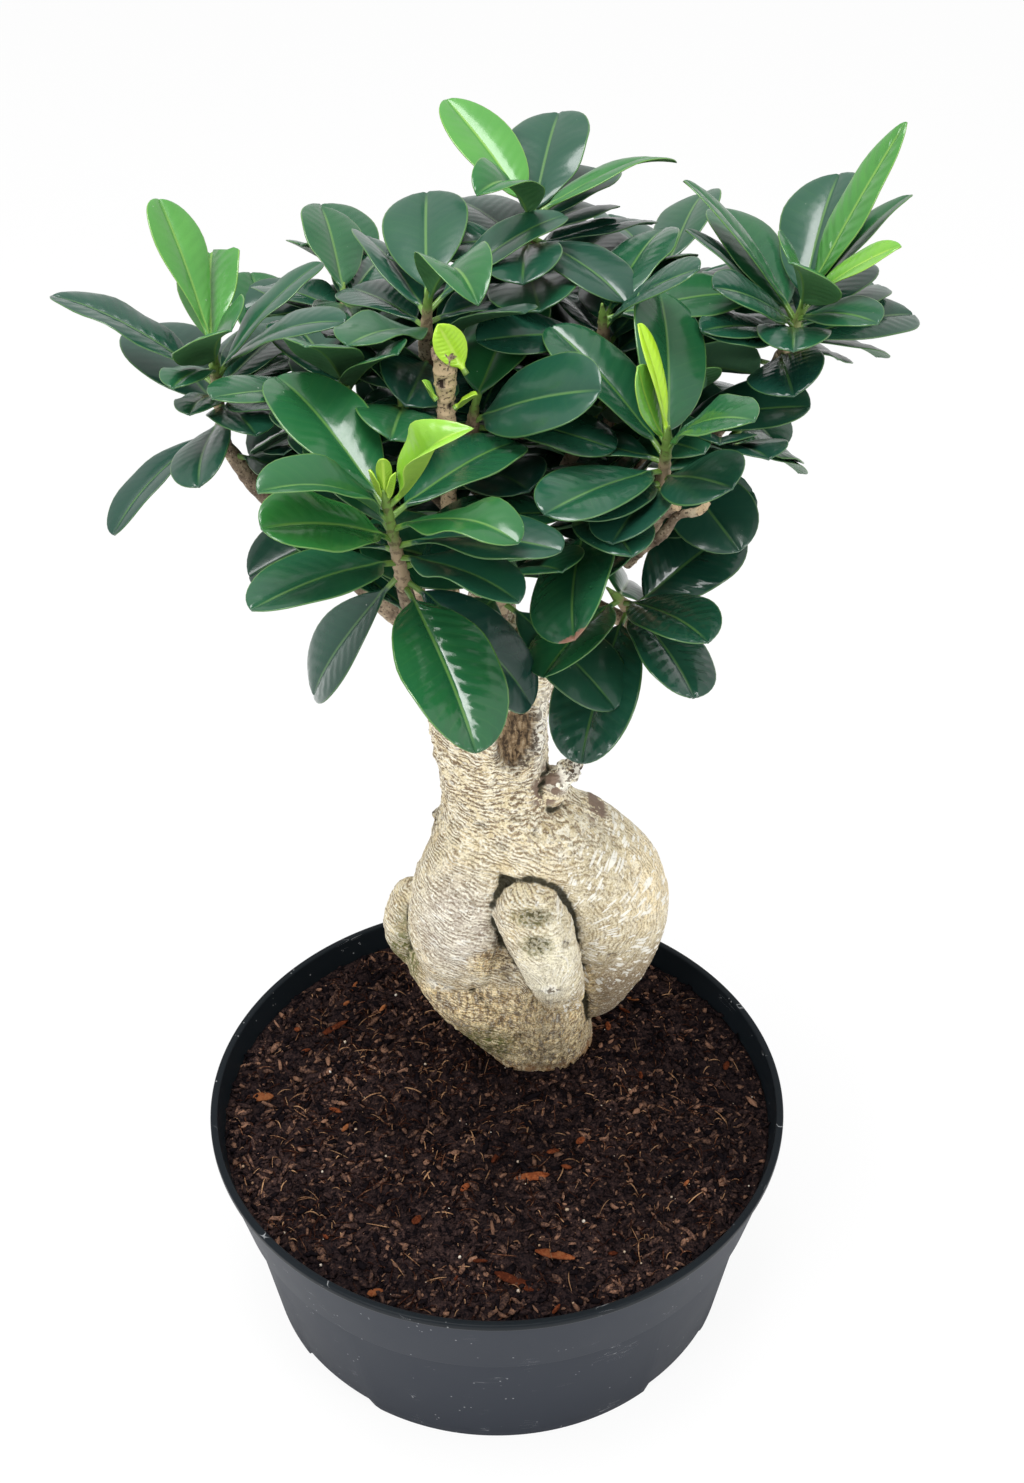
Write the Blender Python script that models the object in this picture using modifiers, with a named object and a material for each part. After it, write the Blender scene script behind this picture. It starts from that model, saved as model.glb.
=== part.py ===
"""Ginseng ficus bonsai in its nursery bowl pot: pot, soil, swollen trunk, branches, twigs, shoots.

Metres, +Z up. The origin is at the middle of the pot's underside and the front faces -Y.
The plant's tables are in millimetres, as a grower would note them down.
"""
import math
import random

import bmesh
import bpy
from mathutils import Vector
from mathutils.bvhtree import BVHTree

MM = 0.001
GAP = 0.3 * MM                  # what neighbouring pieces keep between them

# The pot, radii and heights in mm
RIM_RADIUS = 115.0
POT_HEIGHT = 92.6
COLLAR_FOOT = 58.5              # height of the wide collar's lower edge
COLLAR_RADIUS = 107.1           # outer radius at that edge
COLLAR_STEP = 1.9               # how far the body steps in below the collar
BASE_RADIUS = 96.1
WALL = 1.8
LIP_BEAD = 1.0                  # how far the lip stands proud of the wall
RING_HEIGHT = 4.5               # the foot ring lifts the floor by this much
RING_WIDTH = 3.6
FLOOR = 2.0
PAD_RADIUS = 18.0               # flat pad in the middle of the underside
POT_SEGMENTS = 56
ARCHES = 4                      # drain arches in the foot ring
ARCH_HALF_ANGLE = math.radians(11)
ARCH_FIRST = math.radians(49)
DRAIN_HOLES = 8
DRAIN_RING = 58.0
DRAIN_RADIUS = 5.0

# The soil
SOIL_EDGE = 82.5                # height where it meets the pot
SOIL_MOUND = 5.0                # how much higher it lies at the middle
SOIL_SEGMENTS = 48

# The trunk: each root is a row of (x, y, z, radius) in mm, from which it swells and bends
ROOTS = {
    "neck and foot": [(-3, 20, 284, 20), (-3, 20, 270, 22), (-2, 20, 252, 21), (0, 20, 230, 20.5),
                      (3, 22, 208, 25), (5, 25, 186, 32), (7, 27, 162, 34), (9, 30, 138, 30),
                      (13, 33, 116, 25), (18, 36, 96, 21.5), (20, 37, 80, 20.5), (20, 37, 68, 15)],
    "right bulge": [(6, 21, 224, 17), (20, 24, 209, 17), (32, 26, 198, 19), (41, 28, 183, 22),
                    (42, 30, 168, 26), (41, 33, 150, 25), (40, 38, 132, 21), (37, 42, 116, 18)],
    "shoulder": [(-8, 14, 208, 17), (1, 14, 219, 18.5), (8, 12, 213, 18.5), (17, 12, 208, 18.5),
                 (28, 16, 196, 20), (35, 20, 181, 23), (37, 25, 166, 24.5)],
    "neck front": [(0, 17, 232, 18.5), (2, 15, 224, 19)],
    "curled front root": [(12, -7, 193, 13), (15, -9, 186, 13.5), (18, -9, 176, 13),
                          (21, -8, 166, 11.5), (24, -5, 154, 10), (26, -1, 145, 8)],
    "left body": [(-5, 13, 214, 16), (-9, 10, 200, 19), (-12, 8, 186, 21), (-13, 9, 172, 21),
                  (-12, 11, 160, 19)],
    "left lobe": [(-33, 21, 176, 7.5), (-34, 21, 168, 9.5), (-34, 22, 158, 10), (-30, 24, 146, 9)],
    "low left root": [(-20, 14, 150, 15), (-11, 17, 134, 17), (0, 22, 117, 17), (9, 28, 101, 17),
                      (17, 33, 84, 17)],
    "front foot": [(14, 16, 140, 17), (18, 20, 122, 17), (20, 27, 104, 17), (21, 33, 84, 17)],
    "back root": [(2, 48, 190, 16), (6, 56, 160, 19), (12, 56, 128, 17), (16, 48, 96, 15)],
    "broken stub": [(18, 16, 231, 8), (25, 14, 238, 4.6), (28.5, 13, 241, 3.2)],
    "dry spur": [(-18, 20, 216, 4), (-22, 19, 217, 2)],
}
ROOT_STEP = 0.22                # spacing of the balls along a root, in radii
TRUNK_VOXEL = 2.3 * MM
TRUNK_FACES_KEPT = 0.085

# Branches on top of the neck: (x, y, z, radius) in mm
BRANCHES = {
    "left": [(-13, 18, 281, 5.5), (-22, 15, 297, 5.5), (-44, 12, 321, 4.6), (-62, 10, 343, 3.9),
             (-76, 11, 357, 3.3)],
    "right": [(10, 17, 281, 6), (17, 16, 297, 6), (34, 14, 324, 5.2), (52, 13, 352, 4.4),
              (66, 12, 372, 3.8), (80, 15, 386, 3.1)],
    "front": [(-3, 5, 281, 5), (-6, -4, 297, 5), (-14, -27, 319, 4.4), (-21, -48, 336, 3.6)],
    "leader": [(-2, 24, 281, 6.5), (-1, 26, 305, 6), (3, 29, 340, 5.2), (7, 32, 376, 4.3),
               (11, 35, 404, 3.2)],
    "back": [(-3, 37, 281, 5), (-3, 44, 297, 5), (0, 60, 320, 4.4), (4, 78, 340, 3.6)],
}
BRANCH_TIP_RADIUS = 2.3

STEM_RADIUS = 1.5               # green stem of a leafy shoot, mm
PETIOLE = 0.13                  # share of a leaf's length that is its stalk
STALK_RADIUS = 0.75
HALF_THICK = 0.5
LEAF_CLEARANCE = 0.8            # how much larger a leaf is taken when it's fitted in, mm
FOLD = math.radians(9)          # how far both halves of a blade rise from the midrib
NEIGHBOURS = 125                # leaves whose feet are further apart than this can't meet, mm
BLADE_STATIONS = [(0.28, 0.84), (0.74, 0.92)]

# Leaves: (turn, lift, length, width, roll, bend), degrees and mm, oldest first.
# Turn is the heading of the midrib seen from above (0 right, 90 away, 180 left, 270 front), lift
# is its rise, roll turns the blade about its midrib, bend is how much it droops along its length.
SHOOTS = {
    "front_left": dict(on="front", foot=(-25, -65, 363.4), tip=(-28, -80, 398), leaves=[
        (293, -23, 60, 31, -7, 22), (347, -44, 54, 28, 6, 25), (182, -55, 50, 24, -23, 20),
        (20, -10, 54, 28, 0, 20), (224, 6, 52, 24, -7, 30), (318, 6, 46, 22, -3, 25),
        (127, -21, 42, 22, 2, 25), (334, 12, 52, 22, -2, 30), (223, 25, 48, 22, -26, 35),
        (130, 25, 40, 20, 0, 20), (321, 18, 46, 20, 1, 35), (221, 34, 48, 18, -16, 60),
        (48, 6, 52, 24, 0, 20), (128, 23, 58, 27, 2, 20), (327, 59, 36, 14, 40, -35)]),
    "low_right": dict(on="right", at=0.30, foot=(44, -30, 334), tip=(38, -35, 343), leaves=[
        (36, 5, 46, 27, 11, 20), (250, -32, 54, 30, 16, 20), (294, -8, 46, 25, -12, 25),
        (300, 14, 46, 24, 5, 25), (238, -4, 46, 24, 15, 25), (80, 0, 36, 22, 0, 20)]),
    "centre": dict(on="right", at=0.22, foot=(29, -40, 369), tip=(25, -45, 379), leaves=[
        (263, -12, 48, 30, 34, 25), (125, -35, 44, 26, 0, 20), (288, 14, 40, 22, 0, 25),
        (200, 5, 46, 25, 0, 25), (30, -20, 42, 24, 0, 20), (100, -10, 46, 26, 0, 20)]),
    "stub": dict(on="leader", at=0.40, foot=(-24, -26, 393), tip=(-26, -29, 404), leaves=[
        (247, 27, 40, 22, 0, 30), (150, -5, 42, 24, 0, 20), (200, 10, 42, 22, 10, 30),
        (106, 2, 44, 24, 30, 25), (268, 12, 36, 24, 0, 20)]),
    "stub_side": dict(on="leader", at=0.50, foot=(-6, -24, 393), tip=(-5, -29, 403), leaves=[
        (20, -20, 46, 25, 0, 20), (318, 27, 54, 27, 40, 25), (340, -5, 44, 25, 0, 20),
        (72, 18, 52, 28, -13, 20)]),
    "mid_right": dict(on="right", at=0.42, foot=(50, -40, 382), tip=(50, -50, 403), leaves=[
        (246, -3, 40, 22, 33, 25), (231, 7, 42, 22, 0, 20), (297, 20, 38, 24, 25, 25),
        (68, -10, 34, 20, 0, 20), (225, 5, 50, 24, -3, 20), (69, 14, 40, 16, -55, 20),
        (150, 0, 36, 20, 0, 20), (133, 28, 54, 25, 8, 20), (90, 37, 54, 26, 32, 20),
        (300, 34, 42, 20, 23, 40), (184, 69, 26, 13, -27, -20), (140, 56, 34, 11, 21, 20)]),
    "left": dict(on="left", foot=(-86, 10, 377.4), tip=(-85, 0, 408), leaves=[
        (232, -19, 52, 18, 15, 30), (268, 1, 44, 20, 23, 25), (60, -14, 44, 22, 0, 20),
        (127, 13, 52, 29, -6, 20), (295, 10, 38, 20, 0, 25), (66, 0, 48, 26, 0, 20),
        (262, 16, 30, 14, 0, 25), (60, 10, 40, 22, 0, 20), (159, 22, 60, 20, 7, 25),
        (46, 30, 52, 18, -20, 30), (334, 30, 54, 20, 8, 35), (256, 19, 32, 15, 0, 25),
        (287, 41, 38, 27, 35, 35), (95, 39, 48, 23, -27, 15), (119, 46, 52, 20, 27, 15)]),
    "crown_left": dict(on="leader", at=0.62, foot=(-20, 0, 413), tip=(-19, -5, 426), leaves=[
        (243, 12, 46, 22, -1, 25), (125, -2, 44, 22, -2, 20), (20, -20, 40, 22, 0, 20),
        (116, 12, 50, 22, 22, 20), (38, 23, 54, 20, -6, 30), (292, 33, 46, 20, 10, 70),
        (92, 20, 52, 27, -9, 15)]),
    "crown_right": dict(on="right", at=0.55, foot=(34, 0, 410), tip=(33, -5, 421), leaves=[
        (114, 9, 46, 20, 18, 20), (200, 8, 42, 22, 0, 20), (84, 13, 50, 24, -44, 20),
        (317, 38, 44, 18, 22, 30), (65, 18, 50, 24, -16, 20), (10, 8, 46, 24, 0, 20)]),
    "right": dict(on="right", foot=(90.4, 15.1, 400.5), tip=(95, 10, 419), leaves=[
        (267, 6, 38, 24, 0, 25), (53, -29, 42, 20, 9, 20), (116, -8, 42, 22, 0, 20),
        (225, 21, 42, 22, -17, 30), (29, 0, 50, 24, 9, 25), (40, -15, 48, 24, 0, 20),
        (223, 27, 44, 16, -14, 30), (154, 39, 46, 16, 10, 25), (50, 3, 50, 24, 0, 20),
        (262, 14, 38, 22, 0, 35), (57, 12, 44, 26, 0, 20), (219, 31, 42, 20, -27, 25),
        (121, 33, 50, 25, 9, 20), (150, 44, 55, 16, 16, 15), (297, 27, 40, 18, 15, 25),
        (35, 36, 52, 18, -25, 20), (70, 37, 52, 28, -10, 15), (325, 50, 40, 13, 26, 30),
        (252, 42, 38, 26, -39, 30), (19, 62, 60, 16, 2, 10)]),
    "top": dict(on="leader", foot=(12, 35, 425.4), tip=(12, 30, 441), leaves=[
        (119, 2, 46, 25, 0, 20), (37, -2, 50, 20, -7, 20), (262, 5, 42, 24, 0, 30),
        (200, -8, 46, 25, 0, 20), (330, -25, 44, 24, 0, 20), (58, -5, 46, 24, 0, 20),
        (61, 8, 48, 26, 0, 20), (79, 25, 52, 27, -6, 15), (245, 39, 40, 18, -13, 45),
        (31, 16, 52, 17, -11, 20), (128, 30, 50, 22, -1, 15)]),
    "far_right": dict(on="right", at=0.72, foot=(70, 4, 371), tip=(76, 2, 380), leaves=[
        (285, 24, 44, 22, 0, 25), (270, 17, 40, 22, 0, 25), (43, -29, 46, 16, 7, 20),
        (38, -39, 36, 18, 34, 20), (57, -5, 38, 20, -14, 20)]),
    "inner_left": dict(on="left", at=0.45, foot=(-42, -15, 391), tip=(-43, -20, 406), leaves=[
        (260, 8, 40, 24, 0, 25), (140, -27, 44, 24, 0, 20), (165, -5, 40, 22, 0, 20),
        (256, 20, 44, 24, 0, 25), (345, 5, 40, 22, 0, 20), (30, 0, 44, 24, 0, 20),
        (223, 17, 50, 20, -3, 25), (115, 12, 44, 24, 0, 20), (306, 42, 36, 20, 0, 25),
        (258, 39, 44, 22, 0, 30)]),
    "back_left": dict(on="left", at=0.62, foot=(-49, 45, 397), tip=(-49, 50, 405), leaves=[
        (115, -6, 44, 24, 0, 20), (200, -10, 46, 25, 0, 25), (40, -5, 46, 25, 0, 20),
        (133, -4, 46, 22, 3, 20), (76, 4, 44, 24, 0, 20), (280, 15, 42, 24, 0, 20),
        (103, 22, 48, 22, 21, 15)]),
    "back_right": dict(on="leader", at=0.72, foot=(59, 65, 399), tip=(58, 70, 408), leaves=[
        (40, -8, 46, 25, 0, 20), (297, 27, 44, 24, 0, 20), (350, 5, 46, 25, 0, 20),
        (115, 15, 46, 25, 0, 20), (261, 28, 40, 22, 0, 25), (71, 16, 48, 24, -23, 15)]),
}

# The hidden shoots follow a rule: branch, place along it, then reach and heading from the crown's
# axis and height, with the leaves of each set in a spiral
HIDDEN_SHOOTS = {
    "under_right": ("right", 0.62, 50, 350, 366), "inner_front": ("front", 0.34, 54, 273, 336),
    "inner_mid": ("leader", 0.33, 32, 320, 372), "inner_low": ("left", 0.25, 40, 222, 352),
    "back_a": ("right", 0.34, 74, 35, 366), "back_b": ("back", 0.45, 76, 50, 354),
    "back_c": ("back", None, 76, 86, 372), "back_d": ("left", 0.40, 78, 148, 352),
    "back_e": ("leader", 0.42, 88, 118, 374),
}
CUT_TWIG = dict(on="front", at=0.60, foot=(-13, -36, 408), tip=(-13, -38, 424))
CROWN_AXIS = (0, 22)
SPIRAL = 137.5
SPIRAL_LEAVES = 7

# The leaves that give the crown its outline find their places first, then the others from the
# outside inward, where height counts more than width
SHOWN = {
    "front_left": (0, 1, 2, 4, 8, 10, 11, 12, 13, 14), "low_right": (0, 1, 2), "centre": (0,),
    "mid_right": (4, 7, 8, 9, 10, 11), "left": (3, 8, 9, 12, 13, 14), "crown_left": (3, 4, 6),
    "top": (7, 8, 9, 10), "right": (4, 12, 15, 16, 17, 18, 19), "stub_side": (1, 3),
    "crown_right": (3, 4), "back_left": (6,), "stub": (3, 4),
}
CROWN_HEART = (0, 40, 345)
CROWN_STRETCH = (1.0, 1.0, 1.5)

BARK = (0.42, 0.35, 0.25, 1.0)
WOOD = (0.20, 0.15, 0.10, 1.0)
LEAF_GREEN = (0.030, 0.090, 0.040, 1.0)
PLASTIC = (0.060, 0.068, 0.080, 1.0)
PEAT = (0.040, 0.020, 0.012, 1.0)


def clear_scene():
    for old in list(bpy.data.objects):
        bpy.data.objects.remove(old, do_unlink=True)


def new_collection(name):
    made = bpy.data.collections.new(name)
    bpy.context.scene.collection.children.link(made)
    return made


def finish(name, color, roughness):
    """A Principled finish with the piece's colour and roughness."""
    made = bpy.data.materials.new(name)
    made.use_nodes = True
    shader = made.node_tree.nodes["Principled BSDF"]
    shader.inputs["Base Color"].default_value = color
    shader.inputs["Roughness"].default_value = roughness
    shader.inputs["Metallic"].default_value = 0.0
    return made


def add_object(name, mesh, home, material=None):
    made = bpy.data.objects.new(name, mesh)
    home.objects.link(made)
    if material:
        mesh.materials.append(material)
    mesh.shade_smooth()
    return made


def hide_tool(tool):
    """A cutter or a half-made piece shows as wire and isn't part of the model."""
    tool.hide_render = True
    tool.display_type = "WIRE"


def to_mesh(bm, name):
    mesh = bpy.data.meshes.new(name)
    bm.to_mesh(mesh)
    bm.free()
    return mesh


def turned(name, profile, segments, home, material=None):
    """Turn an (r, z) profile in mm, which starts and ends on the axis, about Z."""
    bm = bmesh.new()
    corners = [bm.verts.new((r * MM, 0, z * MM)) for r, z in profile]
    for upper, lower in zip(corners, corners[1:]):
        bm.edges.new((upper, lower))
    made = add_object(name, to_mesh(bm, name), home, material)
    screw = made.modifiers.new("turn", "SCREW")
    screw.steps = segments
    screw.render_steps = segments
    screw.use_merge_vertices = True
    screw.merge_threshold = 0.00002
    screw.use_smooth_shade = True
    return made


def cut(target, tool=None, tools=None, how="DIFFERENCE"):
    boolean = target.modifiers.new(how.lower(), "BOOLEAN")
    boolean.operation = how
    boolean.solver = "EXACT"
    if tools:
        boolean.operand_type = "COLLECTION"
        boolean.collection = tools
    else:
        boolean.object = tool
    return boolean


def tube_mesh(name, route, sides=3, extra=0.0):
    """A tapering rod along (x, y, z, radius) points in mm, as one closed mesh."""
    curve = bpy.data.curves.new(name, "CURVE")
    curve.dimensions = "3D"
    curve.bevel_depth = MM
    curve.bevel_resolution = sides - 2
    curve.use_fill_caps = True
    spline = curve.splines.new("POLY")
    spline.points.add(len(route) - 1)
    for point, (x, y, z, radius) in zip(spline.points, route):
        point.co = (x * MM, y * MM, z * MM, 1.0)
        point.radius = radius + extra
    rod = bpy.data.objects.new(name, curve)
    bpy.context.scene.collection.objects.link(rod)
    bpy.context.view_layer.update()
    mesh = bpy.data.meshes.new_from_object(rod.evaluated_get(bpy.context.evaluated_depsgraph_get()))
    bpy.data.objects.remove(rod)
    bpy.data.curves.remove(curve)
    bm = bmesh.new()
    bm.from_mesh(mesh)
    bmesh.ops.remove_doubles(bm, verts=bm.verts, dist=0.00001)
    bmesh.ops.recalc_face_normals(bm, faces=bm.faces)
    bm.to_mesh(mesh)
    bm.free()
    mesh.name = name
    return mesh


def smooth_route(points, steps):
    """Catmull-Rom curve through (x, y, z, radius) points, with this many steps per stretch."""
    route = [Vector(p) for p in points]
    ends = [route[0] * 2 - route[1]] + route + [route[-1] * 2 - route[-2]]
    fine = []
    for a, b, c, d in zip(ends, ends[1:], ends[2:], ends[3:]):
        for k in range(steps):
            t = k / steps
            fine.append(0.5 * ((2 * b) + (c - a) * t + (2 * a - 5 * b + 4 * c - d) * t * t
                               + (3 * b - a - 3 * c + d) * t ** 3))
    fine.append(route[-1])
    return [tuple(p) for p in fine]


def make_pot(home, tools):
    def body_radius(z):
        return BASE_RADIUS + (COLLAR_RADIUS - COLLAR_STEP - BASE_RADIUS) * z / COLLAR_FOOT

    floor_top = RING_HEIGHT + FLOOR
    rim_inner = RIM_RADIUS - LIP_BEAD - WALL
    profile = [
        (0, floor_top), (body_radius(floor_top) - WALL - 2, floor_top),
        (body_radius(floor_top + 2) - WALL, floor_top + 2),
        (body_radius(COLLAR_FOOT - 1) - WALL, COLLAR_FOOT - 1),
        (COLLAR_RADIUS - WALL, COLLAR_FOOT + 1),
        (rim_inner, POT_HEIGHT - 0.6), (rim_inner + 0.7, POT_HEIGHT),
        (RIM_RADIUS - 0.7, POT_HEIGHT), (RIM_RADIUS, POT_HEIGHT - 0.8),
        (RIM_RADIUS, POT_HEIGHT - 2.2), (RIM_RADIUS - LIP_BEAD, POT_HEIGHT - 3.2),
        (COLLAR_RADIUS, COLLAR_FOOT + 0.6), (COLLAR_RADIUS - 0.6, COLLAR_FOOT),
        (body_radius(COLLAR_FOOT), COLLAR_FOOT - 0.4),
        (BASE_RADIUS, 0.8), (BASE_RADIUS - 0.8, 0), (BASE_RADIUS - RING_WIDTH, 0),
        (BASE_RADIUS - RING_WIDTH, RING_HEIGHT), (PAD_RADIUS, RING_HEIGHT), (PAD_RADIUS, 0), (0, 0)]
    pot = turned("pot", profile, POT_SEGMENTS, home, finish("plastic", PLASTIC, 0.5))
    for k in range(ARCHES):
        angle = ARCH_FIRST + k * math.tau / ARCHES
        width = 2 * math.sin(ARCH_HALF_ANGLE) * BASE_RADIUS * MM
        bm = bmesh.new()
        bmesh.ops.create_cube(bm, size=1.0)
        bmesh.ops.scale(bm, verts=bm.verts, vec=(4 * RING_WIDTH * MM, width, 2 * RING_HEIGHT * 0.85 * MM))
        arch = add_object(f"arch_{k}", to_mesh(bm, "arch"), tools)
        out = BASE_RADIUS * MM
        arch.location = (out * math.cos(angle), out * math.sin(angle), 0)
        arch.rotation_euler = (0, 0, angle)
        hide_tool(arch)
    for k in range(DRAIN_HOLES):
        angle = k * math.tau / DRAIN_HOLES
        bm = bmesh.new()
        bmesh.ops.create_cone(bm, cap_ends=True, segments=16, radius1=DRAIN_RADIUS * MM,
                              radius2=DRAIN_RADIUS * MM, depth=4 * FLOOR * MM)
        hole = add_object(f"drain_{k}", to_mesh(bm, "drain"), tools)
        reach = DRAIN_RING * MM
        hole.location = (reach * math.cos(angle), reach * math.sin(angle),
                         (RING_HEIGHT + FLOOR / 2) * MM)
        hide_tool(hole)
    cut(pot, tools=tools)
    return pot


def make_soil(home, trunk_room):
    floor = RING_HEIGHT + FLOOR + 0.3
    side = 0.6                                   # the peat has shrunk a little from the wall
    inner_base = BASE_RADIUS - WALL - side
    inner_step = COLLAR_RADIUS - COLLAR_STEP - WALL - side
    collar_slope = (RIM_RADIUS - LIP_BEAD - COLLAR_RADIUS) / (POT_HEIGHT - COLLAR_FOOT)
    inner_edge = COLLAR_RADIUS - WALL - side + collar_slope * (SOIL_EDGE - COLLAR_FOOT) - 0.6
    top = [(inner_edge * k / 6, SOIL_EDGE + SOIL_MOUND * (1 - (k / 6) ** 2)) for k in range(7)]
    profile = top + [(inner_step + COLLAR_STEP - 0.6, COLLAR_FOOT + 3.5),
                     (inner_step - 0.5, COLLAR_FOOT - 2), (inner_base - 2, floor), (0, floor)]
    soil = turned("soil", profile, SOIL_SEGMENTS, home, finish("peat", PEAT, 0.95))
    cut(soil, tool=trunk_room)
    return soil


def make_trunk(home, tools, sockets):
    """Rows of balls, fused into one skin: the bulges and creases come from where they meet."""
    bm = bmesh.new()
    for root in ROOTS.values():
        last = None
        for x, y, z, radius in smooth_route(root, 12):
            place = Vector((x, y, z))
            if last is not None and (place - last).length < ROOT_STEP * radius:
                continue
            last = place
            ball = bmesh.ops.create_icosphere(bm, subdivisions=3, radius=radius * MM)
            bmesh.ops.translate(bm, verts=ball["verts"], vec=place * MM)
    trunk = add_object("trunk", to_mesh(bm, "trunk"), home, finish("bark", BARK, 0.8))
    fuse = trunk.modifiers.new("fuse", "REMESH")
    fuse.mode = "VOXEL"
    fuse.voxel_size = TRUNK_VOXEL
    fuse.use_smooth_shade = True
    soften = trunk.modifiers.new("soften", "SMOOTH")
    soften.factor = 0.5
    soften.iterations = 5
    thin = trunk.modifiers.new("thin", "DECIMATE")
    thin.ratio = TRUNK_FACES_KEPT
    bpy.context.view_layer.update()
    skin = bpy.data.meshes.new_from_object(trunk.evaluated_get(bpy.context.evaluated_depsgraph_get()))
    trunk.modifiers.clear()
    trunk.data = skin
    room = add_object("trunk_room", skin.copy(), tools)
    grow = room.modifiers.new("grow", "DISPLACE")
    grow.strength = GAP * 1.4
    grow.mid_level = 0.0
    hide_tool(room)
    cut(trunk, tools=sockets)
    return trunk, room


def along(route, share):
    """The point at this share of a route's length, mm."""
    points = [Vector(p[:3]) for p in route]
    legs = [(b - a).length for a, b in zip(points, points[1:])]
    left = share * sum(legs)
    for a, b, leg in zip(points, points[1:], legs):
        if left <= leg:
            return a.lerp(b, left / leg)
        left -= leg
    return points[-1]


def twig_route(start, foot, tip, radius=2.4, steps=7):
    """A twig that leaves its branch outward and then bends up into its shoot."""
    start, foot, tip = Vector(start), Vector(foot), Vector(tip)
    way = (tip - foot).normalized()
    bend_end = foot - way * 2.5
    reach = (bend_end - start).length
    leave = start + (bend_end - start) * 0.35 + Vector((0, 0, -0.05 * reach))
    arrive = bend_end - way * 0.38 * reach
    route = []
    for k in range(steps + 1):
        t = k / steps
        s = 1 - t
        p = s ** 3 * start + 3 * s * s * t * leave + 3 * s * t * t * arrive + t ** 3 * bend_end
        route.append((*p, radius * (1.25 - 0.35 * t)))
    route.append((*foot, radius * 0.9))
    return route


def blade_rings(base, turn, lift, length, width, roll, bend, swell=0.0):
    """A leaf as rings of four corners, from the stalk's foot to the blade's last ring, and its tip."""
    turn, lift, roll, bend = (math.radians(a) for a in (turn, lift, roll, bend))
    ahead = Vector((math.cos(lift) * math.cos(turn), math.cos(lift) * math.sin(turn), math.sin(lift)))
    side = Vector((-math.sin(turn), math.cos(turn), 0.0))
    up = ahead.cross(side)
    side, up = side * math.cos(roll) + up * math.sin(roll), up * math.cos(roll) - side * math.sin(roll)
    sag = length * math.tan(bend / 4) / 2
    base = Vector(base)

    def place(u):
        return base + ahead * (length * u) + up * (4 * sag * u * (1 - u))

    def ring(u, half_width, half_thick, fold):
        slope = (ahead * length + up * (4 * sag * (1 - 2 * u))).normalized()
        normal = slope.cross(side)
        middle = place(u)
        wing = side * (half_width * math.cos(fold))
        raise_by = normal * (half_width * math.sin(fold))
        return [middle - wing + raise_by, middle + normal * half_thick,
                middle + wing + raise_by, middle - normal * half_thick]

    stalk = STALK_RADIUS + swell / 2
    rings = [ring(0.0, stalk, stalk, 0), ring(PETIOLE, stalk, stalk, 0)]
    for share, wide in BLADE_STATIONS:
        rings.append(ring(PETIOLE + (1 - PETIOLE) * share, width / 2 * wide + swell,
                          HALF_THICK + swell / 2, FOLD))
    return rings, place(1.0 + swell / length)


def loft(bm, rings, tip):
    """Skin rings of four corners, a cap at the first ring and a point at the tip, mm."""
    rows = [[bm.verts.new(corner * MM) for corner in ring] for ring in rings]
    end = bm.verts.new(tip * MM)
    bm.faces.new(rows[0])
    for a, b in zip(rows, rows[1:]):
        for k in range(4):
            n = (k + 1) % 4
            bm.faces.new((a[n], a[k], b[k], b[n]))
    last = rows[-1]
    for k in range(4):
        bm.faces.new((last[(k + 1) % 4], last[k], end))


def leaf_trees(base, leaf):
    """The whole leaf and its blade alone, a little swollen, for testing what it runs into."""
    rings, tip = blade_rings(base, *leaf, swell=LEAF_CLEARANCE)
    trees = []
    for part in (rings, rings[1:]):
        bm = bmesh.new()
        loft(bm, part, tip)
        bmesh.ops.triangulate(bm, faces=bm.faces)
        trees.append(BVHTree.FromBMesh(bm))
        bm.free()
    return trees


def mesh_tree(mesh):
    return BVHTree.FromPolygons([v.co for v in mesh.vertices], [tuple(p.vertices) for p in mesh.polygons])


def leaf_tries():
    """Small changes of (turn, lift, roll), the smallest first."""
    steps = [(turn, lift, roll) for turn in range(-36, 37, 4) for lift in range(-24, 25, 4)
             for roll in range(-36, 37, 12)]
    return sorted(steps, key=lambda s: (s[0] / 8) ** 2 + (s[1] / 6) ** 2 + (s[2] / 16) ** 2)


def showiest_first(entry):
    """The order in which leaves find their places."""
    name, k, base, leaf = entry
    turn, lift = math.radians(leaf[0]), math.radians(leaf[1])
    flat = leaf[2] * math.cos(lift)
    tip = base + Vector((flat * math.cos(turn), flat * math.sin(turn), leaf[2] * math.sin(lift)))
    way = (tip - Vector(CROWN_HEART)) * Vector(CROWN_STRETCH)
    return k not in SHOWN.get(name, ()), name in HIDDEN_SHOOTS, -way.length


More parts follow.
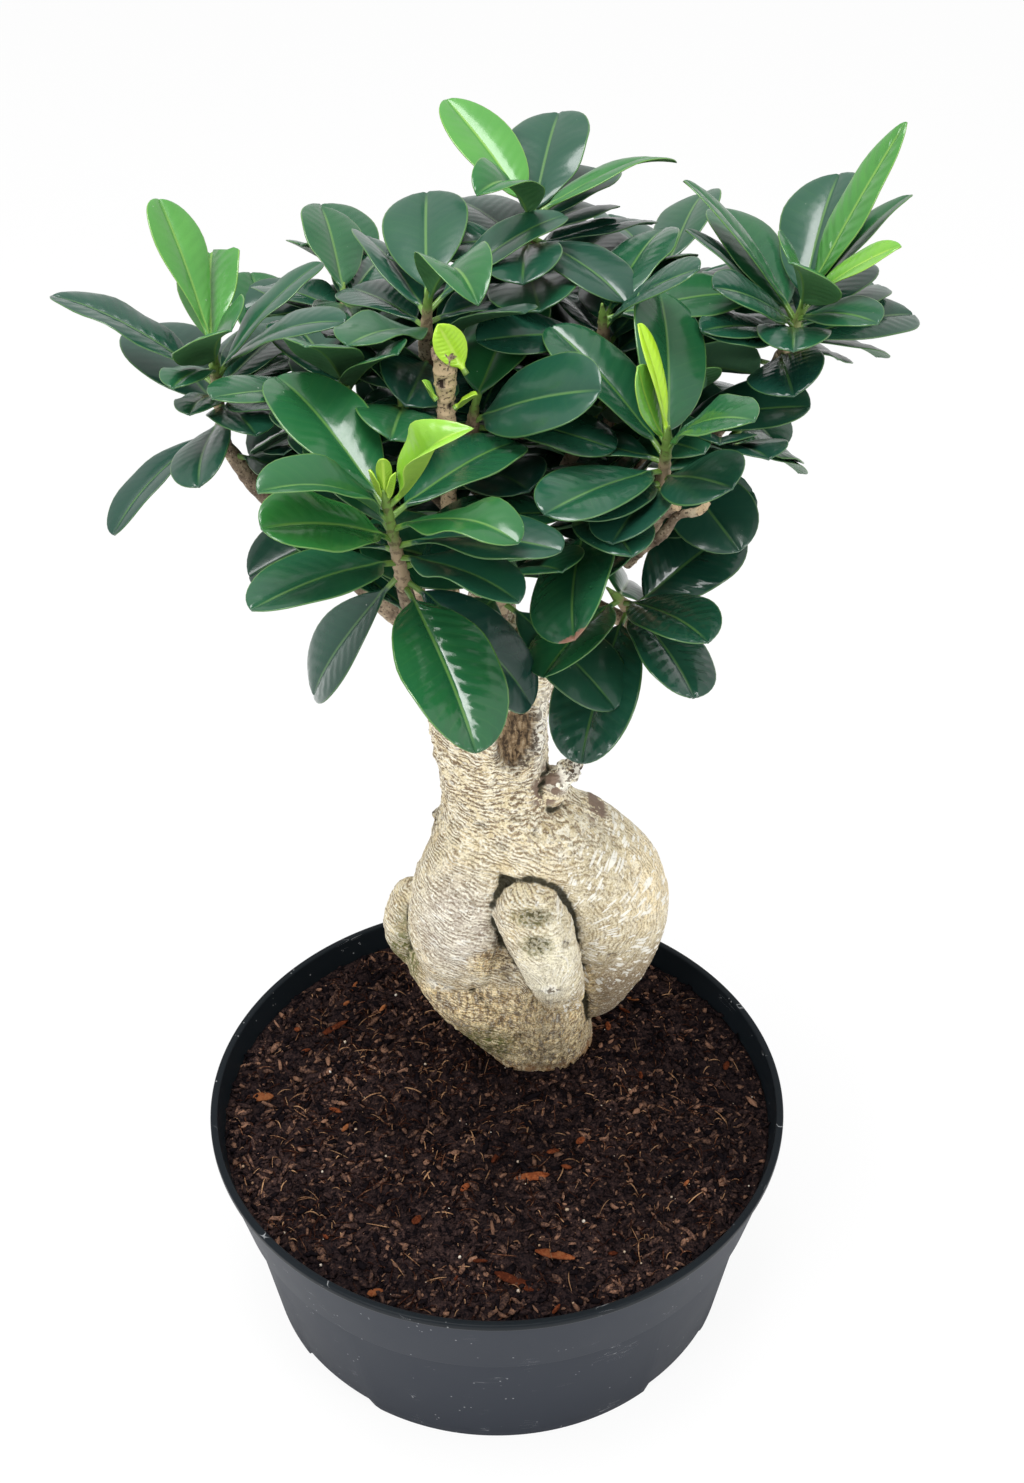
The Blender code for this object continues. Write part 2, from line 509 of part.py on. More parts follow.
def place_leaves(shoots, wood, stems):
    """Give each leaf the first pose near its own in which it runs into nothing.

    A leaf that finds no such pose is left out, as a crowded shoot drops it.
    """
    tries = leaf_tries()
    waiting = []
    for name, shoot in shoots.items():
        foot, tip = Vector(shoot["foot"]), Vector(shoot["tip"])
        leaves = shoot["leaves"]
        for k, leaf in enumerate(leaves):
            waiting.append((name, k, foot.lerp(tip, (k + 0.8) / (len(leaves) + 0.3)), leaf))
    taken = []
    placed = {name: [] for name in shoots}
    for name, k, base, leaf in sorted(waiting, key=showiest_first):
        others = wood + [stem for owner, stem in stems.items() if owner != name]
        near = [(owner, whole, blade) for owner, place, whole, blade in taken
                if (place - base).length < NEIGHBOURS]
        for turn, lift, roll in tries:
            pose = (leaf[0] + turn, leaf[1] + lift, leaf[2], leaf[3], leaf[4] + roll, leaf[5])
            whole, blade = leaf_trees(base, pose)
            clear = (not blade.overlap(stems[name])
                     and not any(whole.overlap(other) for other in others)
                     and not any(blade.overlap(b) if owner == name else whole.overlap(w)
                                 for owner, w, b in near))
            if clear:
                taken.append((name, base, whole, blade))
                placed[name].append((k, base, pose))
                break
    for found in placed.values():
        found.sort(key=lambda entry: entry[0])
    return placed


def spiral_shoots():
    """The hidden shoots, worked out by their rule in the same form as the table's."""
    pick = random.Random(11)
    made = {}
    for name, (branch, at, reach, heading, height) in HIDDEN_SHOOTS.items():
        away = math.radians(heading)
        foot = Vector((CROWN_AXIS[0] + reach * math.cos(away),
                       CROWN_AXIS[1] + reach * math.sin(away), height))
        way = Vector((math.cos(away) * 0.5, math.sin(away) * 0.5, 1)).normalized()
        start = pick.uniform(0, 360)
        leaves = []
        for k in range(SPIRAL_LEAVES):
            rise = -28 + 62 * k / (SPIRAL_LEAVES - 1) + pick.uniform(-6, 6)
            leaves.append(((start + SPIRAL * k) % 360, rise, 52 - 8 * k / SPIRAL_LEAVES,
                           28 - 3 * k / SPIRAL_LEAVES, pick.uniform(-10, 10), pick.uniform(15, 28)))
        made[name] = dict(on=branch, foot=tuple(foot), tip=tuple(foot + way * 20), leaves=leaves)
        if at is not None:
            made[name]["at"] = at
    return made


def make_plant(home, tools, sockets):
    wood_finish = finish("twig bark", WOOD, 0.75)
    leaf_finish = finish("leaf", LEAF_GREEN, 0.3)
    shoots = dict(SHOOTS)
    shoots.update(spiral_shoots())
    end_shoots = {shoot["on"]: shoot for shoot in shoots.values() if "at" not in shoot}
    wood = []
    fat = {}
    for name, points in BRANCHES.items():
        foot, tip = Vector(end_shoots[name]["foot"]), Vector(end_shoots[name]["tip"])
        last = foot - (tip - foot).normalized() * 6
        route = smooth_route(points + [(*last, BRANCH_TIP_RADIUS)], 2) + [(*foot, BRANCH_TIP_RADIUS)]
        mesh = tube_mesh(f"branch_{name}", route, sides=4)
        add_object(f"branch_{name}", mesh, home, wood_finish)
        below = (Vector(route[0][:3]) - Vector(route[1][:3])).normalized() * 0.35
        room = [(*(Vector(route[0][:3]) + below), route[0][3])] + route[1:]
        fat[name] = add_object(f"room_{name}", tube_mesh(f"room_{name}", room, 4, extra=0.4), sockets)
        hide_tool(fat[name])
        wood.append(mesh)
    for name, twig_of in [*shoots.items(), ("cut", CUT_TWIG)]:
        if "at" not in twig_of:
            continue
        start = along(BRANCHES[twig_of["on"]], twig_of["at"])
        end = twig_of["tip"] if name == "cut" else twig_of["foot"]
        route = twig_route(start, twig_of["foot"], twig_of["tip"])
        if name == "cut":
            route.append((*end, 2.2))
        twig = add_object(f"twig_{name}", tube_mesh(f"twig_{name}", route), home, wood_finish)
        cut(twig, tool=fat[twig_of["on"]])
        wood.append(twig.data)
    stems = {name: make_stem(name, shoot, home, leaf_finish) for name, shoot in shoots.items()}
    placed = place_leaves(shoots, [mesh_tree(mesh) for mesh in wood],
                          {name: mesh_tree(stem.data) for name, stem in stems.items()})
    for name, stem in stems.items():
        bm = bmesh.new()
        for _, base, pose in placed[name]:
            rings, end = blade_rings(base, *pose)
            loft(bm, rings, end)
        bmesh.ops.recalc_face_normals(bm, faces=bm.faces)
        blades = add_object(f"blades_{name}", to_mesh(bm, "blades"), tools)
        hide_tool(blades)
        join = cut(stem, tool=blades, how="UNION")
        join.use_self = True


def make_stem(name, shoot, home, leaf_finish):
    """The green stem of a shoot, which ends in a pointed bud."""
    foot, tip = Vector(shoot["foot"]), Vector(shoot["tip"])
    way = (tip - foot).normalized()
    foot = foot + way * 0.35
    rod = [(*foot.lerp(tip, t), STEM_RADIUS * (1.1 - 0.4 * t)) for t in (0, 0.5, 1)]
    rod.append((*(tip + way * 6), 0.3))
    return add_object(f"shoot_{name}", tube_mesh(f"shoot_{name}", rod), home, leaf_finish)


def main():
    clear_scene()
    home = new_collection("ginseng ficus bonsai")
    pot_tools = new_collection("pot cutters")
    tools = new_collection("cutters and half-made pieces")
    sockets = new_collection("branch sockets")
    make_plant(home, tools, sockets)
    trunk, room = make_trunk(home, tools, sockets)
    make_pot(home, pot_tools)
    make_soil(home, room)


main()
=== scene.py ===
# %% [markdown]
# # A ginseng ficus bonsai in its nursery bowl
# This small tree stands on a root that has swollen into a fat, folded trunk. A short neck carries
# branches that fan out into shoots of glossy leaves, and the whole sits in a bowl of dark peat.
# The measured solids are loaded first and stay as they are. Everything that is seen is then built
# around them, one piece at a time, with its own finish.
# %% Load the measured solids
import math
import random
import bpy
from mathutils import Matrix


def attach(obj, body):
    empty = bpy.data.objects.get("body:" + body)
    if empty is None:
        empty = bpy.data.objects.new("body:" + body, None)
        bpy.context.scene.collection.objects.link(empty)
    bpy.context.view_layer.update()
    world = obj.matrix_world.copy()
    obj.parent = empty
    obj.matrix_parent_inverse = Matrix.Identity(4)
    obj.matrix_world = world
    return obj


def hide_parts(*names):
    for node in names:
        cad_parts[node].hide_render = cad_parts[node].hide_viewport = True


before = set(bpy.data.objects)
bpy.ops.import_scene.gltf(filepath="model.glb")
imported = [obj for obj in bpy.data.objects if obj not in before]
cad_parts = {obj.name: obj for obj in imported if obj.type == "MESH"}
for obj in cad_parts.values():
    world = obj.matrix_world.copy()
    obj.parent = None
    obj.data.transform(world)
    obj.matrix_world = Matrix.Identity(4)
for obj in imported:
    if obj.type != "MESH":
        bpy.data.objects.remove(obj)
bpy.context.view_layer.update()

from types import SimpleNamespace

import bmesh
import bpy
import numpy as np
from mathutils import Vector, noise
from mathutils.bvhtree import BVHTree

MM = 0.001
BODY = "root"                          # nothing moves, so every piece rides on the one body


# %% [markdown]
# ## Shader arithmetic
# A finish is a chain of nodes. Written node by node it's hard to read, so a socket is wrapped in a
# small class whose plus, minus and times add the Math nodes, and a finish is written like a sum.
# Colours don't go through Math nodes, which would turn them grey: they are blended with Mix.
# %% One wrapped socket
class Value:
    """One output socket of a finish. Arithmetic on it adds a Math node."""

    def __init__(self, finish, socket):
        self.finish = finish
        self.socket = socket

    def math(self, how, first, second=None):
        return self.finish.node("ShaderNodeMath", {"operation": how}, {0: first, 1: second})

    def __add__(self, other):
        return self.math("ADD", self, other)

    def __sub__(self, other):
        return self.math("SUBTRACT", self, other)

    def __rsub__(self, other):
        return self.math("SUBTRACT", other, self)

    def __mul__(self, other):
        return self.math("MULTIPLY", self, other)

    def __abs__(self):
        return self.math("ABSOLUTE", self)

    __radd__ = __add__
    __rmul__ = __mul__

    def sine(self):
        return self.math("SINE", self)

    def to_and_fro(self, size):
        """Runs from 0 up to this size and back, over and over."""
        return self.math("PINGPONG", self, size)

    def rise(self, low, high):
        """0 below low, 1 above high and an S curve between; with low above high it falls."""
        kind = {"interpolation_type": "SMOOTHSTEP"}
        if low < high:
            return self.finish.node("ShaderNodeMapRange", kind, {0: self, 1: low, 2: high})
        return 1 - self.finish.node("ShaderNodeMapRange", kind, {0: self, 1: high, 2: low})


# %% A finish, and the one way to add a node to it
class Finish:
    """A material in the making."""

    def __init__(self, name, **constants):
        self.material = bpy.data.materials.new(name)
        self.material.use_nodes = True
        self.tree = self.material.node_tree
        self.shader = self.tree.nodes["Principled BSDF"]
        for socket, value in constants.items():
            self.shader.inputs[socket.replace("_", " ")].default_value = value

    def node(self, kind, settings=None, sockets=None, out=0):
        made = self.tree.nodes.new(kind)
        for name, value in (settings or {}).items():
            if name == "stops":
                self.set_stops(made.color_ramp.elements, value)
            else:
                setattr(made, name, value)
        for key, value in (sockets or {}).items():
            self.feed(made.inputs[key], value)
        return Value(self, made.outputs[out])

    def feed(self, socket, value):
        if isinstance(value, Value):
            self.tree.links.new(value.socket, socket)
        elif value is not None:
            socket.default_value = value

    @staticmethod
    def set_stops(elements, stops):
        while len(elements) < len(stops):
            elements.new(1.0)
        for element, (place, colour) in zip(elements, stops):
            element.position = place
            element.color = colour

    def use(self, **sockets):
        for name, value in sockets.items():
            self.feed(self.shader.inputs[name.replace("_", " ")], value)

    def blend(self, factor, first, second):
        return self.node("ShaderNodeMix", {"data_type": "RGBA"}, {0: factor, 6: first, 7: second}, out=2)

    def coats(self, colour, *coats):
        """Lay coats over a colour, one after the other; each is a mask and a colour."""
        for mask, coat in coats:
            colour = self.blend(mask, colour, coat)
        return colour

    def ramp(self, factor, *stops):
        return self.node("ShaderNodeValToRGB", {"stops": stops}, {0: factor})

    def most(self, *values):
        """The largest of some values."""
        found = values[0]
        for value in values[1:]:
            found = found.math("MAXIMUM", found, value)
        return found

    def place(self, *stretch):
        """Where a point lies on the piece, in mm, stretched along X, Y and Z if that is given."""
        here = self.node("ShaderNodeTexCoord", out=3)
        scale = [s / MM for s in stretch or (1, 1, 1)]
        return self.node("ShaderNodeVectorMath", {"operation": "MULTIPLY"}, {0: here, 1: scale})

    def vector(self, x, y, z):
        return self.node("ShaderNodeCombineXYZ", {}, {0: x, 1: y, 2: z})

    def part(self, vector, axis):
        """The X, Y or Z of a vector."""
        return self.node("ShaderNodeSeparateXYZ", {}, {0: vector}, out="XYZ".index(axis))

    def cloud(self, size, detail=2.0, at=None):
        """Soft noise with features of this size in mm."""
        return self.node("ShaderNodeTexNoise", {}, {"Vector": at or self.place(), "Scale": 1 / size,
                                                    "Detail": detail})

    def cells(self, size, at=None):
        """The distance to the nearest of many scattered points, about this far apart in mm."""
        return self.node("ShaderNodeTexVoronoi", {}, {"Vector": at or self.place(), "Scale": 1 / size})

    def note(self, name, part=None):
        """A per-point note of the mesh: the whole number, or one part of a vector."""
        read = {"attribute_name": name}
        if part is None:
            return self.node("ShaderNodeAttribute", read, out=2)
        return self.part(self.node("ShaderNodeAttribute", read, out=1), part)

    def bump(self, height, depth, strength=1.0):
        """Height from 0 to 1 raises the surface by up to this depth in mm."""
        return self.node("ShaderNodeBump", {}, {"Height": height, "Distance": depth * MM,
                                                "Strength": strength})


def grey(level):
    return (level, level, level, 1.0)


print("the shader helpers are ready")


# %% [markdown]
# ## Meshes out of numbers
# Leaves, twigs, crumbs and fibres are all skins drawn over rows of points. One function skins a
# grid of rings, and a pile gathers many small shapes into one piece. Notes such as a leaf's age
# travel with the points, so that one finish can colour them all differently.
# %% Skin a stack of rings
def circle(count):
    """This many angles, evenly round a full turn."""
    return np.arange(count) * math.tau / count


def band(near, far, count):
    """Quads between two rings of count points, given by the number of each ring's first point."""
    here = np.arange(count)
    after = (here + 1) % count
    return np.stack([near + here, near + after, far + after, far + here], 1)


def skin(rows, count):
    """Quads over rows of count points, closed at both ends; each ring runs round and meets itself."""
    quads = [band(r * count, (r + 1) * count, count) for r in range(rows - 1)]
    side = np.arange(count // 2 - 1)
    cap = np.stack([side + 1, side, count - 1 - side, count - 2 - side], 1)
    return np.concatenate(quads + [cap, (rows - 1) * count + cap[:, ::-1]])


def tube(route, sides=10, rough=None):
    """A rod along (x, y, z, radius) points. rough(place, turn, share) swells its radius."""
    route = np.array(route, float)
    middle, radius = route[:, :3], route[:, 3]
    ahead = np.gradient(middle, axis=0)
    ahead /= np.linalg.norm(ahead, axis=1)[:, None]
    side = np.cross(ahead[0], (0.3, 0.5, 0.81))
    turns = circle(sides)
    points = []
    for k, (centre, way, r) in enumerate(zip(middle, ahead, radius)):
        side = side - way * (side @ way)
        side /= np.linalg.norm(side)
        up = np.cross(way, side)
        spokes = np.outer(np.cos(turns), side) + np.outer(np.sin(turns), up)
        swell = 1.0 if rough is None else rough(centre, turns, k / (len(route) - 1))
        points.append(centre + spokes * (r * swell * np.ones(sides))[:, None])
    return np.concatenate(points), skin(len(route), sides)


def smooth_route(points, steps):
    """A smooth curve through (x, y, z, radius) points, with this many steps per stretch."""
    route = [np.array(p, float) for p in points]
    ends = [route[0] * 2 - route[1]] + route + [route[-1] * 2 - route[-2]]
    fine = []
    for a, b, c, d in zip(ends, ends[1:], ends[2:], ends[3:]):
        for k in range(steps):
            t = k / steps
            fine.append(0.5 * ((2 * b) + (c - a) * t + (2 * a - 5 * b + 4 * c - d) * t * t
                               + (3 * b - a - 3 * c + d) * t ** 3))
    return np.array(fine + [route[-1]])


print("faces of a plain rod:", len(tube([(0, 0, 0, 1), (0, 0, 10, 1)])[1]))


# %% Gather shapes and make a piece
class Pile:
    """Small shapes in mm that are gathered into one mesh, with notes on their points."""

    def __init__(self):
        self.points = []
        self.faces = []
        self.notes = {}
        self.count = 0

    def add(self, points, faces, **notes):
        for name, value in notes.items():
            shape = (len(points), 3) if np.ndim(value) and np.shape(value)[-1] == 3 else (len(points),)
            self.notes.setdefault(name, []).append(np.broadcast_to(np.array(value, float), shape))
        self.points.append(points)
        self.faces.extend((faces + self.count).tolist())
        self.count += len(points)

    def piece(self, name, finish, slot, *stands_for):
        mesh = bpy.data.meshes.new(name)
        mesh.from_pydata((np.concatenate(self.points) * MM).tolist(), [], self.faces)
        mesh.update()
        for note, parts in self.notes.items():
            write_note(mesh, note, np.concatenate(parts))
        return as_piece(name, mesh, finish, slot, *stands_for)


def add_object(name, data):
    """A new object in the scene."""
    made = bpy.data.objects.new(name, data)
    bpy.context.scene.collection.objects.link(made)
    return made


def write_note(mesh, name, values):
    """Give every point of a mesh a number or a vector that its finish can read."""
    kind, field = ("FLOAT_VECTOR", "vector") if values.ndim == 2 else ("FLOAT", "value")
    mesh.attributes.new(name, kind, "POINT").data.foreach_set(field, values.astype(np.float32).ravel())


def as_piece(name, mesh, finish, slot, *stands_for):
    """Put a mesh in the scene, on the one body, in its finish and in place of measured solids."""
    made = add_object(name, mesh)
    mesh.materials.append(finish.material)
    mesh.shade_smooth()
    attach(made, BODY)
    if stands_for:
        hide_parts(*stands_for)
    triangles = sum(len(face.vertices) - 2 for face in mesh.polygons)
    print(f"{name}: {triangles} triangles")
    return made


def wobble(points, size, octaves=3, seed=0.0):
    """Noise between about -1 and 1 at each point, with features of this size in mm."""
    return np.array([noise.fractal(Vector((x / size + seed, y / size, z / size)), 1.0, 2.0, octaves)
                     for x, y, z in points])


def step(values, low, high):
    """0 below low, 1 above high and an S curve between; with low above high it falls."""
    t = np.clip((values - low) / (high - low), 0, 1)
    return t * t * (3 - 2 * t)


# %% [markdown]
# ## Room, light and camera
# The plant stands on a white table in a white room, lit by broad soft lamps. A camera ray meets a
# floor that is mostly plain white, so that the background is clean and a soft shadow still shows.
# %% The white floor and room
FLOOR_HALF = 6.0                       # m
FLOOR_GLOW = 0.90                      # how much of the floor's look is plain white
FLOOR_GREY = 0.92
ROOM_LIGHT = 0.80                      # how brightly the white room lights the plant


def white_room():
    floor_finish = Finish("white table", Roughness=0.9)
    floor_finish.use(Base_Color=grey(FLOOR_GREY))
    ray = floor_finish.node("ShaderNodeLightPath")
    glow = floor_finish.node("ShaderNodeEmission", {}, {"Color": grey(1.0), "Strength": 1.0})
    mixed = floor_finish.node("ShaderNodeMixShader", {}, {
        0: ray * FLOOR_GLOW, 1: Value(floor_finish, floor_finish.shader.outputs[0]), 2: glow})
    floor_finish.tree.links.new(mixed.socket, floor_finish.tree.nodes["Material Output"].inputs[0])
    mesh = bpy.data.meshes.new("table_top")
    corners = [(x * FLOOR_HALF, y * FLOOR_HALF, 0) for x, y in ((-1, -1), (1, -1), (1, 1), (-1, 1))]
    mesh.from_pydata(corners, [], [(0, 1, 2, 3)])
    mesh.materials.append(floor_finish.material)
    floor = add_object("table_top", mesh)

    room = bpy.data.worlds.new("white room")
    bpy.context.scene.world = room
    room.use_nodes = True
    nodes, links = room.node_tree.nodes, room.node_tree.links
    ray = nodes.new("ShaderNodeLightPath")
    seen = nodes.new("ShaderNodeMath")
    seen.operation = "MAXIMUM"
    links.new(ray.outputs["Is Camera Ray"], seen.inputs[0])
    links.new(ray.outputs["Is Transmission Ray"], seen.inputs[1])
    strength = nodes.new("ShaderNodeMapRange")
    strength.inputs["To Min"].default_value = ROOM_LIGHT
    links.new(seen.outputs[0], strength.inputs[0])
    links.new(strength.outputs[0], nodes["Background"].inputs["Strength"])
    nodes["Background"].inputs["Color"].default_value = grey(1.0)
    print("the white room is lit at", ROOM_LIGHT)


white_room()


# %% Lamps and camera
def soft_lamp(name, place, aim, width, watts):
    """A round lamp in metres, turned towards the point that it is aimed at."""
    light = bpy.data.lights.new(name, "AREA")
    light.shape = "DISK"
    light.size = width
    light.energy = watts
    lamp = add_object(name, light)
    lamp.location = place
    lamp.rotation_euler = (Vector(aim) - Vector(place)).to_track_quat("-Z", "Y").to_euler()


soft_lamp("overhead", (-0.15, -0.10, 1.6), (0, 0, 0.25), 0.75, 16.5)
soft_lamp("front_left", (-0.75, -1.05, 1.15), (0, 0, 0.25), 0.55, 8.0)
soft_lamp("front_right", (0.9, -0.8, 1.0), (0, 0, 0.2), 0.45, 4.0)

CAMERA_PLACE = (0.006, -0.516, 0.625)  # m
CAMERA_DOWN = math.radians(35)         # how far it looks down
FOCAL_LENGTH, SENSOR_WIDTH = 43.7, 36  # mm
camera = add_object("camera", bpy.data.cameras.new("camera"))
camera.location = CAMERA_PLACE
camera.rotation_euler = (math.pi / 2 - CAMERA_DOWN, 0, 0)
camera.data.sensor_width = SENSOR_WIDTH
camera.data.lens = FOCAL_LENGTH
camera.data.clip_start = 0.01
bpy.context.scene.camera = camera
bpy.context.scene.view_settings.view_transform = "Standard"
print("camera:", round(math.degrees(CAMERA_DOWN)), "degrees down,", FOCAL_LENGTH, "mm lens")


# %% [markdown]
# ## The bowl
# A nursery bowl is moulded in one go from dark plastic: a thin wall, a rolled lip, a wide collar
# with a small step below it, and a foot ring with drain arches. A turned profile gives exactly
# that. Its corners are rounded with small arcs, because a moulded edge always catches light.
# %% Turn the profile
RIM, HEIGHT = 115.0, 92.6              # mm, as the measured bowl
COLLAR_FOOT, COLLAR, COLLAR_STEP, BASE = 58.5, 107.1, 1.9, 96.1
WALL, LIP_BEAD, RING_HEIGHT, RING_WIDTH, FLOOR, PAD = 1.8, 1.0, 4.5, 3.6, 2.0, 18.0
LIP_SIDE, LIP_FOOT = 2.7, 3.4          # how far below the rim the lip's side and its foot lie
BOWL_TURNS = 240
ARCHES, ARCH_HALF, ARCH_FIRST = 4, math.radians(11), math.radians(49)
ARCH_HEIGHT = 0.85 * RING_HEIGHT
ABOVE_ARCHES = 5.2                     # a ring of points just above them keeps the wall even


def body_radius(z):
    return BASE + (COLLAR - COLLAR_STEP - BASE) * z / COLLAR_FOOT


def rounded(corners):
    """A profile of (r, z, rounding): each corner becomes a short arc of that size."""
    profile = []
    for k, (r, z, size) in enumerate(corners):
        here = np.array((r, z))
        if not size or k in (0, len(corners) - 1):
            profile.append(here)
            continue
        before = np.array(corners[k - 1][:2]) - here
        after = np.array(corners[k + 1][:2]) - here
        start = here + before / np.linalg.norm(before) * size
        end = here + after / np.linalg.norm(after) * size
        for t in (0, 0.25, 0.5, 0.75, 1):
            profile.append((1 - t) ** 2 * start + 2 * t * (1 - t) * here + t * t * end)
    return np.array(profile)


def make_bowl(finish):
    top = RING_HEIGHT + FLOOR
    inner = RIM - LIP_BEAD - WALL
    profile = rounded([
        (PAD / 2, top, 0), (body_radius(top) - WALL, top, 2.5),
        (body_radius(COLLAR_FOOT) - WALL, COLLAR_FOOT - 1, 0.5),
        (COLLAR - WALL, COLLAR_FOOT + 1, 0.5), (inner, HEIGHT, 0.8), (RIM, HEIGHT, 0.8),
        (RIM, HEIGHT - LIP_SIDE, 0.7), (RIM - LIP_BEAD, HEIGHT - LIP_FOOT, 0.4), (COLLAR, COLLAR_FOOT, 0.7),
        (body_radius(COLLAR_FOOT), COLLAR_FOOT - 0.2, 0.25),
        (body_radius(ABOVE_ARCHES), ABOVE_ARCHES, 0), (BASE, 0, 0.9), (BASE - RING_WIDTH, 0, 0.6),
        (BASE - RING_WIDTH, RING_HEIGHT, 0.6), (PAD, RING_HEIGHT, 0.6),
        (PAD, 0, 0.5), (PAD / 2, 0, 0)])
    turns = circle(BOWL_TURNS)
    points = np.array([(r * math.cos(a), r * math.sin(a), z) for a in turns for r, z in profile])
    around = np.arctan2(points[:, 1], points[:, 0])
    nearest = np.abs((around - ARCH_FIRST + math.pi / ARCHES) % (math.tau / ARCHES) - math.pi / ARCHES)
    in_ring = np.hypot(points[:, 0], points[:, 1]) > BASE - RING_WIDTH - 1
    arch = ARCH_HEIGHT * (1 - step(nearest, ARCH_HALF - 0.02, ARCH_HALF + 0.015))
    points[:, 2] = np.where(in_ring, np.maximum(points[:, 2], arch), points[:, 2])
    count = len(profile)
    faces = [band(k * count, (k + 1) % BOWL_TURNS * count, count) for k in range(BOWL_TURNS)]
    pile = Pile()
    pile.add(points, np.concatenate(faces))
    return pile.piece("bowl", finish, "pot_plastic", "pot")


# %% [markdown]
# The plastic is a dark slate grey with a satin skin. Handling leaves fine pale scratches and dust
# on it, the lip and the inside are smoother and darkened with painted shade, and water has left a little
# lime inside.
# %% Slate plastic
SLATE_DARK, SLATE_LIGHT = (0.017, 0.0215, 0.031, 1), (0.024, 0.029, 0.040, 1)
# The near-black slate is painted shade for the lip and the inside of the bowl.
SLATE_PAINTED_SHADE, DUST = (0.008, 0.011, 0.014, 1), (0.36, 0.37, 0.38, 1)


def slate_plastic():
    finish = Finish("slate plastic", Specular_IOR_Level=0.10)
    height = finish.part(finish.place(), "Z")
    lip = height.rise(HEIGHT - 3.6, HEIGHT - 2.4)
    across = finish.node("ShaderNodeVectorMath", {"operation": "LENGTH"},
                         {0: finish.place(1, 1, 0)}, out=1)
    low_wall = BASE + (COLLAR - COLLAR_STEP - BASE) / COLLAR_FOOT * height
    high_wall = COLLAR + (RIM - LIP_BEAD - COLLAR) / (HEIGHT - COLLAR_FOOT) * (height - COLLAR_FOOT)
    wall = low_wall + (high_wall - low_wall) * height.rise(COLLAR_FOOT - 0.4, COLLAR_FOOT + 0.1)
    inside = (wall - across).rise(0.8, 1.6) * height.rise(5, 9)
    # painted shade: the lip and the inside of the bowl are darkened to near black
    dark = finish.most(lip, inside)
    mottle = finish.cloud(26, 4)
    grain = finish.cloud(0.5, 2)
    dust = finish.cells(2.6).rise(0.16, 0.10) * finish.cloud(9, 1).rise(0.60, 0.66)
    scratch_at = finish.place(0.35, 0.35, 2.6)
    lines = abs(finish.cloud(5.5, 1, scratch_at) - 0.5).rise(0.006, 0.0)
    scratch = lines * finish.cloud(14, 1).rise(0.62, 0.70)
    marks = finish.most(dust * 0.7, scratch * 0.8)
    colour = finish.coats(finish.blend(mottle, SLATE_DARK, SLATE_LIGHT),
                          (dark, SLATE_PAINTED_SHADE), (marks, DUST))
    finish.use(Base_Color=colour, Roughness=0.42 + 0.12 * mottle - 0.12 * dark + 0.2 * marks,
               Normal=finish.bump(grain * 0.5 + mottle * 0.5, 0.05, 0.5))
    return finish


make_bowl(slate_plastic())


# %% [markdown]
# ## The swollen root
# A ginseng ficus grows its fat roots under ground and is then lifted, so that they stand bare. They
# have pressed against each other and fused, with deep creases where they meet. Rows of overlapping
# balls give each root its own thickness, and a voxel remesh melts them into one skin.
# %% The roots, in mm
ROOTS = {
    "neck and foot": [(-3, 20, 284, 20), (-3, 20, 270, 22), (-2, 20, 252, 21), (0, 20, 230, 20.5),
                      (3, 22, 208, 25), (5, 25, 186, 32), (7, 27, 162, 34), (9, 30, 138, 30),
                      (13, 33, 116, 25), (18, 36, 96, 21.5), (20, 37, 80, 20.5), (20, 37, 68, 15)],
    "right bulge": [(6, 21, 224, 17), (20, 24, 209, 17), (32, 26, 198, 19), (41, 28, 183, 22),
                    (42, 30, 168, 26), (41, 33, 150, 25), (40, 38, 132, 21), (37, 42, 116, 18)],
    "shoulder": [(-8, 14, 208, 17), (1, 14, 219, 18.5), (8, 12, 213, 18.5), (17, 12, 208, 18.5),
                 (28, 16, 196, 20), (35, 20, 181, 23), (37, 25, 166, 24.5)],
    "neck front": [(0, 17, 232, 18.5), (2, 15, 224, 19)],
    "curled front root": [(12, -7, 193, 13), (15, -9, 186, 13.5), (18, -9, 176, 13),
                          (21, -8, 166, 11.5), (24, -5, 154, 10), (26, -1, 145, 8)],
    "left body": [(-5, 13, 214, 16), (-9, 10, 200, 19), (-12, 8, 186, 21), (-13, 9, 172, 21),
                  (-12, 11, 160, 19)],
    "left lobe": [(-33, 21, 176, 7.5), (-34, 21, 168, 9.5), (-34, 22, 158, 10), (-30, 24, 146, 9)],
    "low left root": [(-20, 14, 150, 15), (-11, 17, 134, 17), (0, 22, 117, 17), (9, 28, 101, 17),
                      (17, 33, 84, 17)],
    "front foot": [(14, 16, 140, 17), (18, 20, 122, 17), (20, 27, 104, 17), (21, 33, 84, 17)],
    "back root": [(2, 48, 190, 16), (6, 56, 160, 19), (12, 56, 128, 17), (16, 48, 96, 15)],
    "broken stub": [(18, 16, 231, 8), (25, 14, 239, 4.6), (28.5, 13, 244, 3.4)],
    "dry spur": [(-18, 20, 216, 4), (-22, 19, 217, 2)],
}
BRANCHES = {
    "left": [(-13, 18, 281, 5.5), (-22, 15, 297, 5.5), (-44, 12, 321, 4.6), (-62, 10, 343, 3.9),
             (-76, 11, 357, 3.3)],
    "right": [(10, 17, 281, 6), (17, 16, 297, 6), (34, 14, 324, 5.2), (52, 13, 352, 4.4),
              (66, 12, 372, 3.8), (80, 15, 386, 3.1)],
    "front": [(-3, 5, 281, 5), (-6, -4, 297, 5), (-14, -27, 319, 4.4), (-21, -48, 336, 3.6)],
    "leader": [(-2, 24, 281, 6.5), (-1, 26, 305, 6), (3, 29, 340, 5.2), (7, 32, 376, 4.3),
               (11, 35, 404, 3.2)],
    "back": [(-3, 37, 281, 5), (-3, 44, 297, 5), (0, 60, 320, 4.4), (4, 78, 340, 3.6)],
}
BALL_STEP = 0.2                        # spacing of the balls along a root, in radii
SKIN_VOXEL = 0.98                      # mm
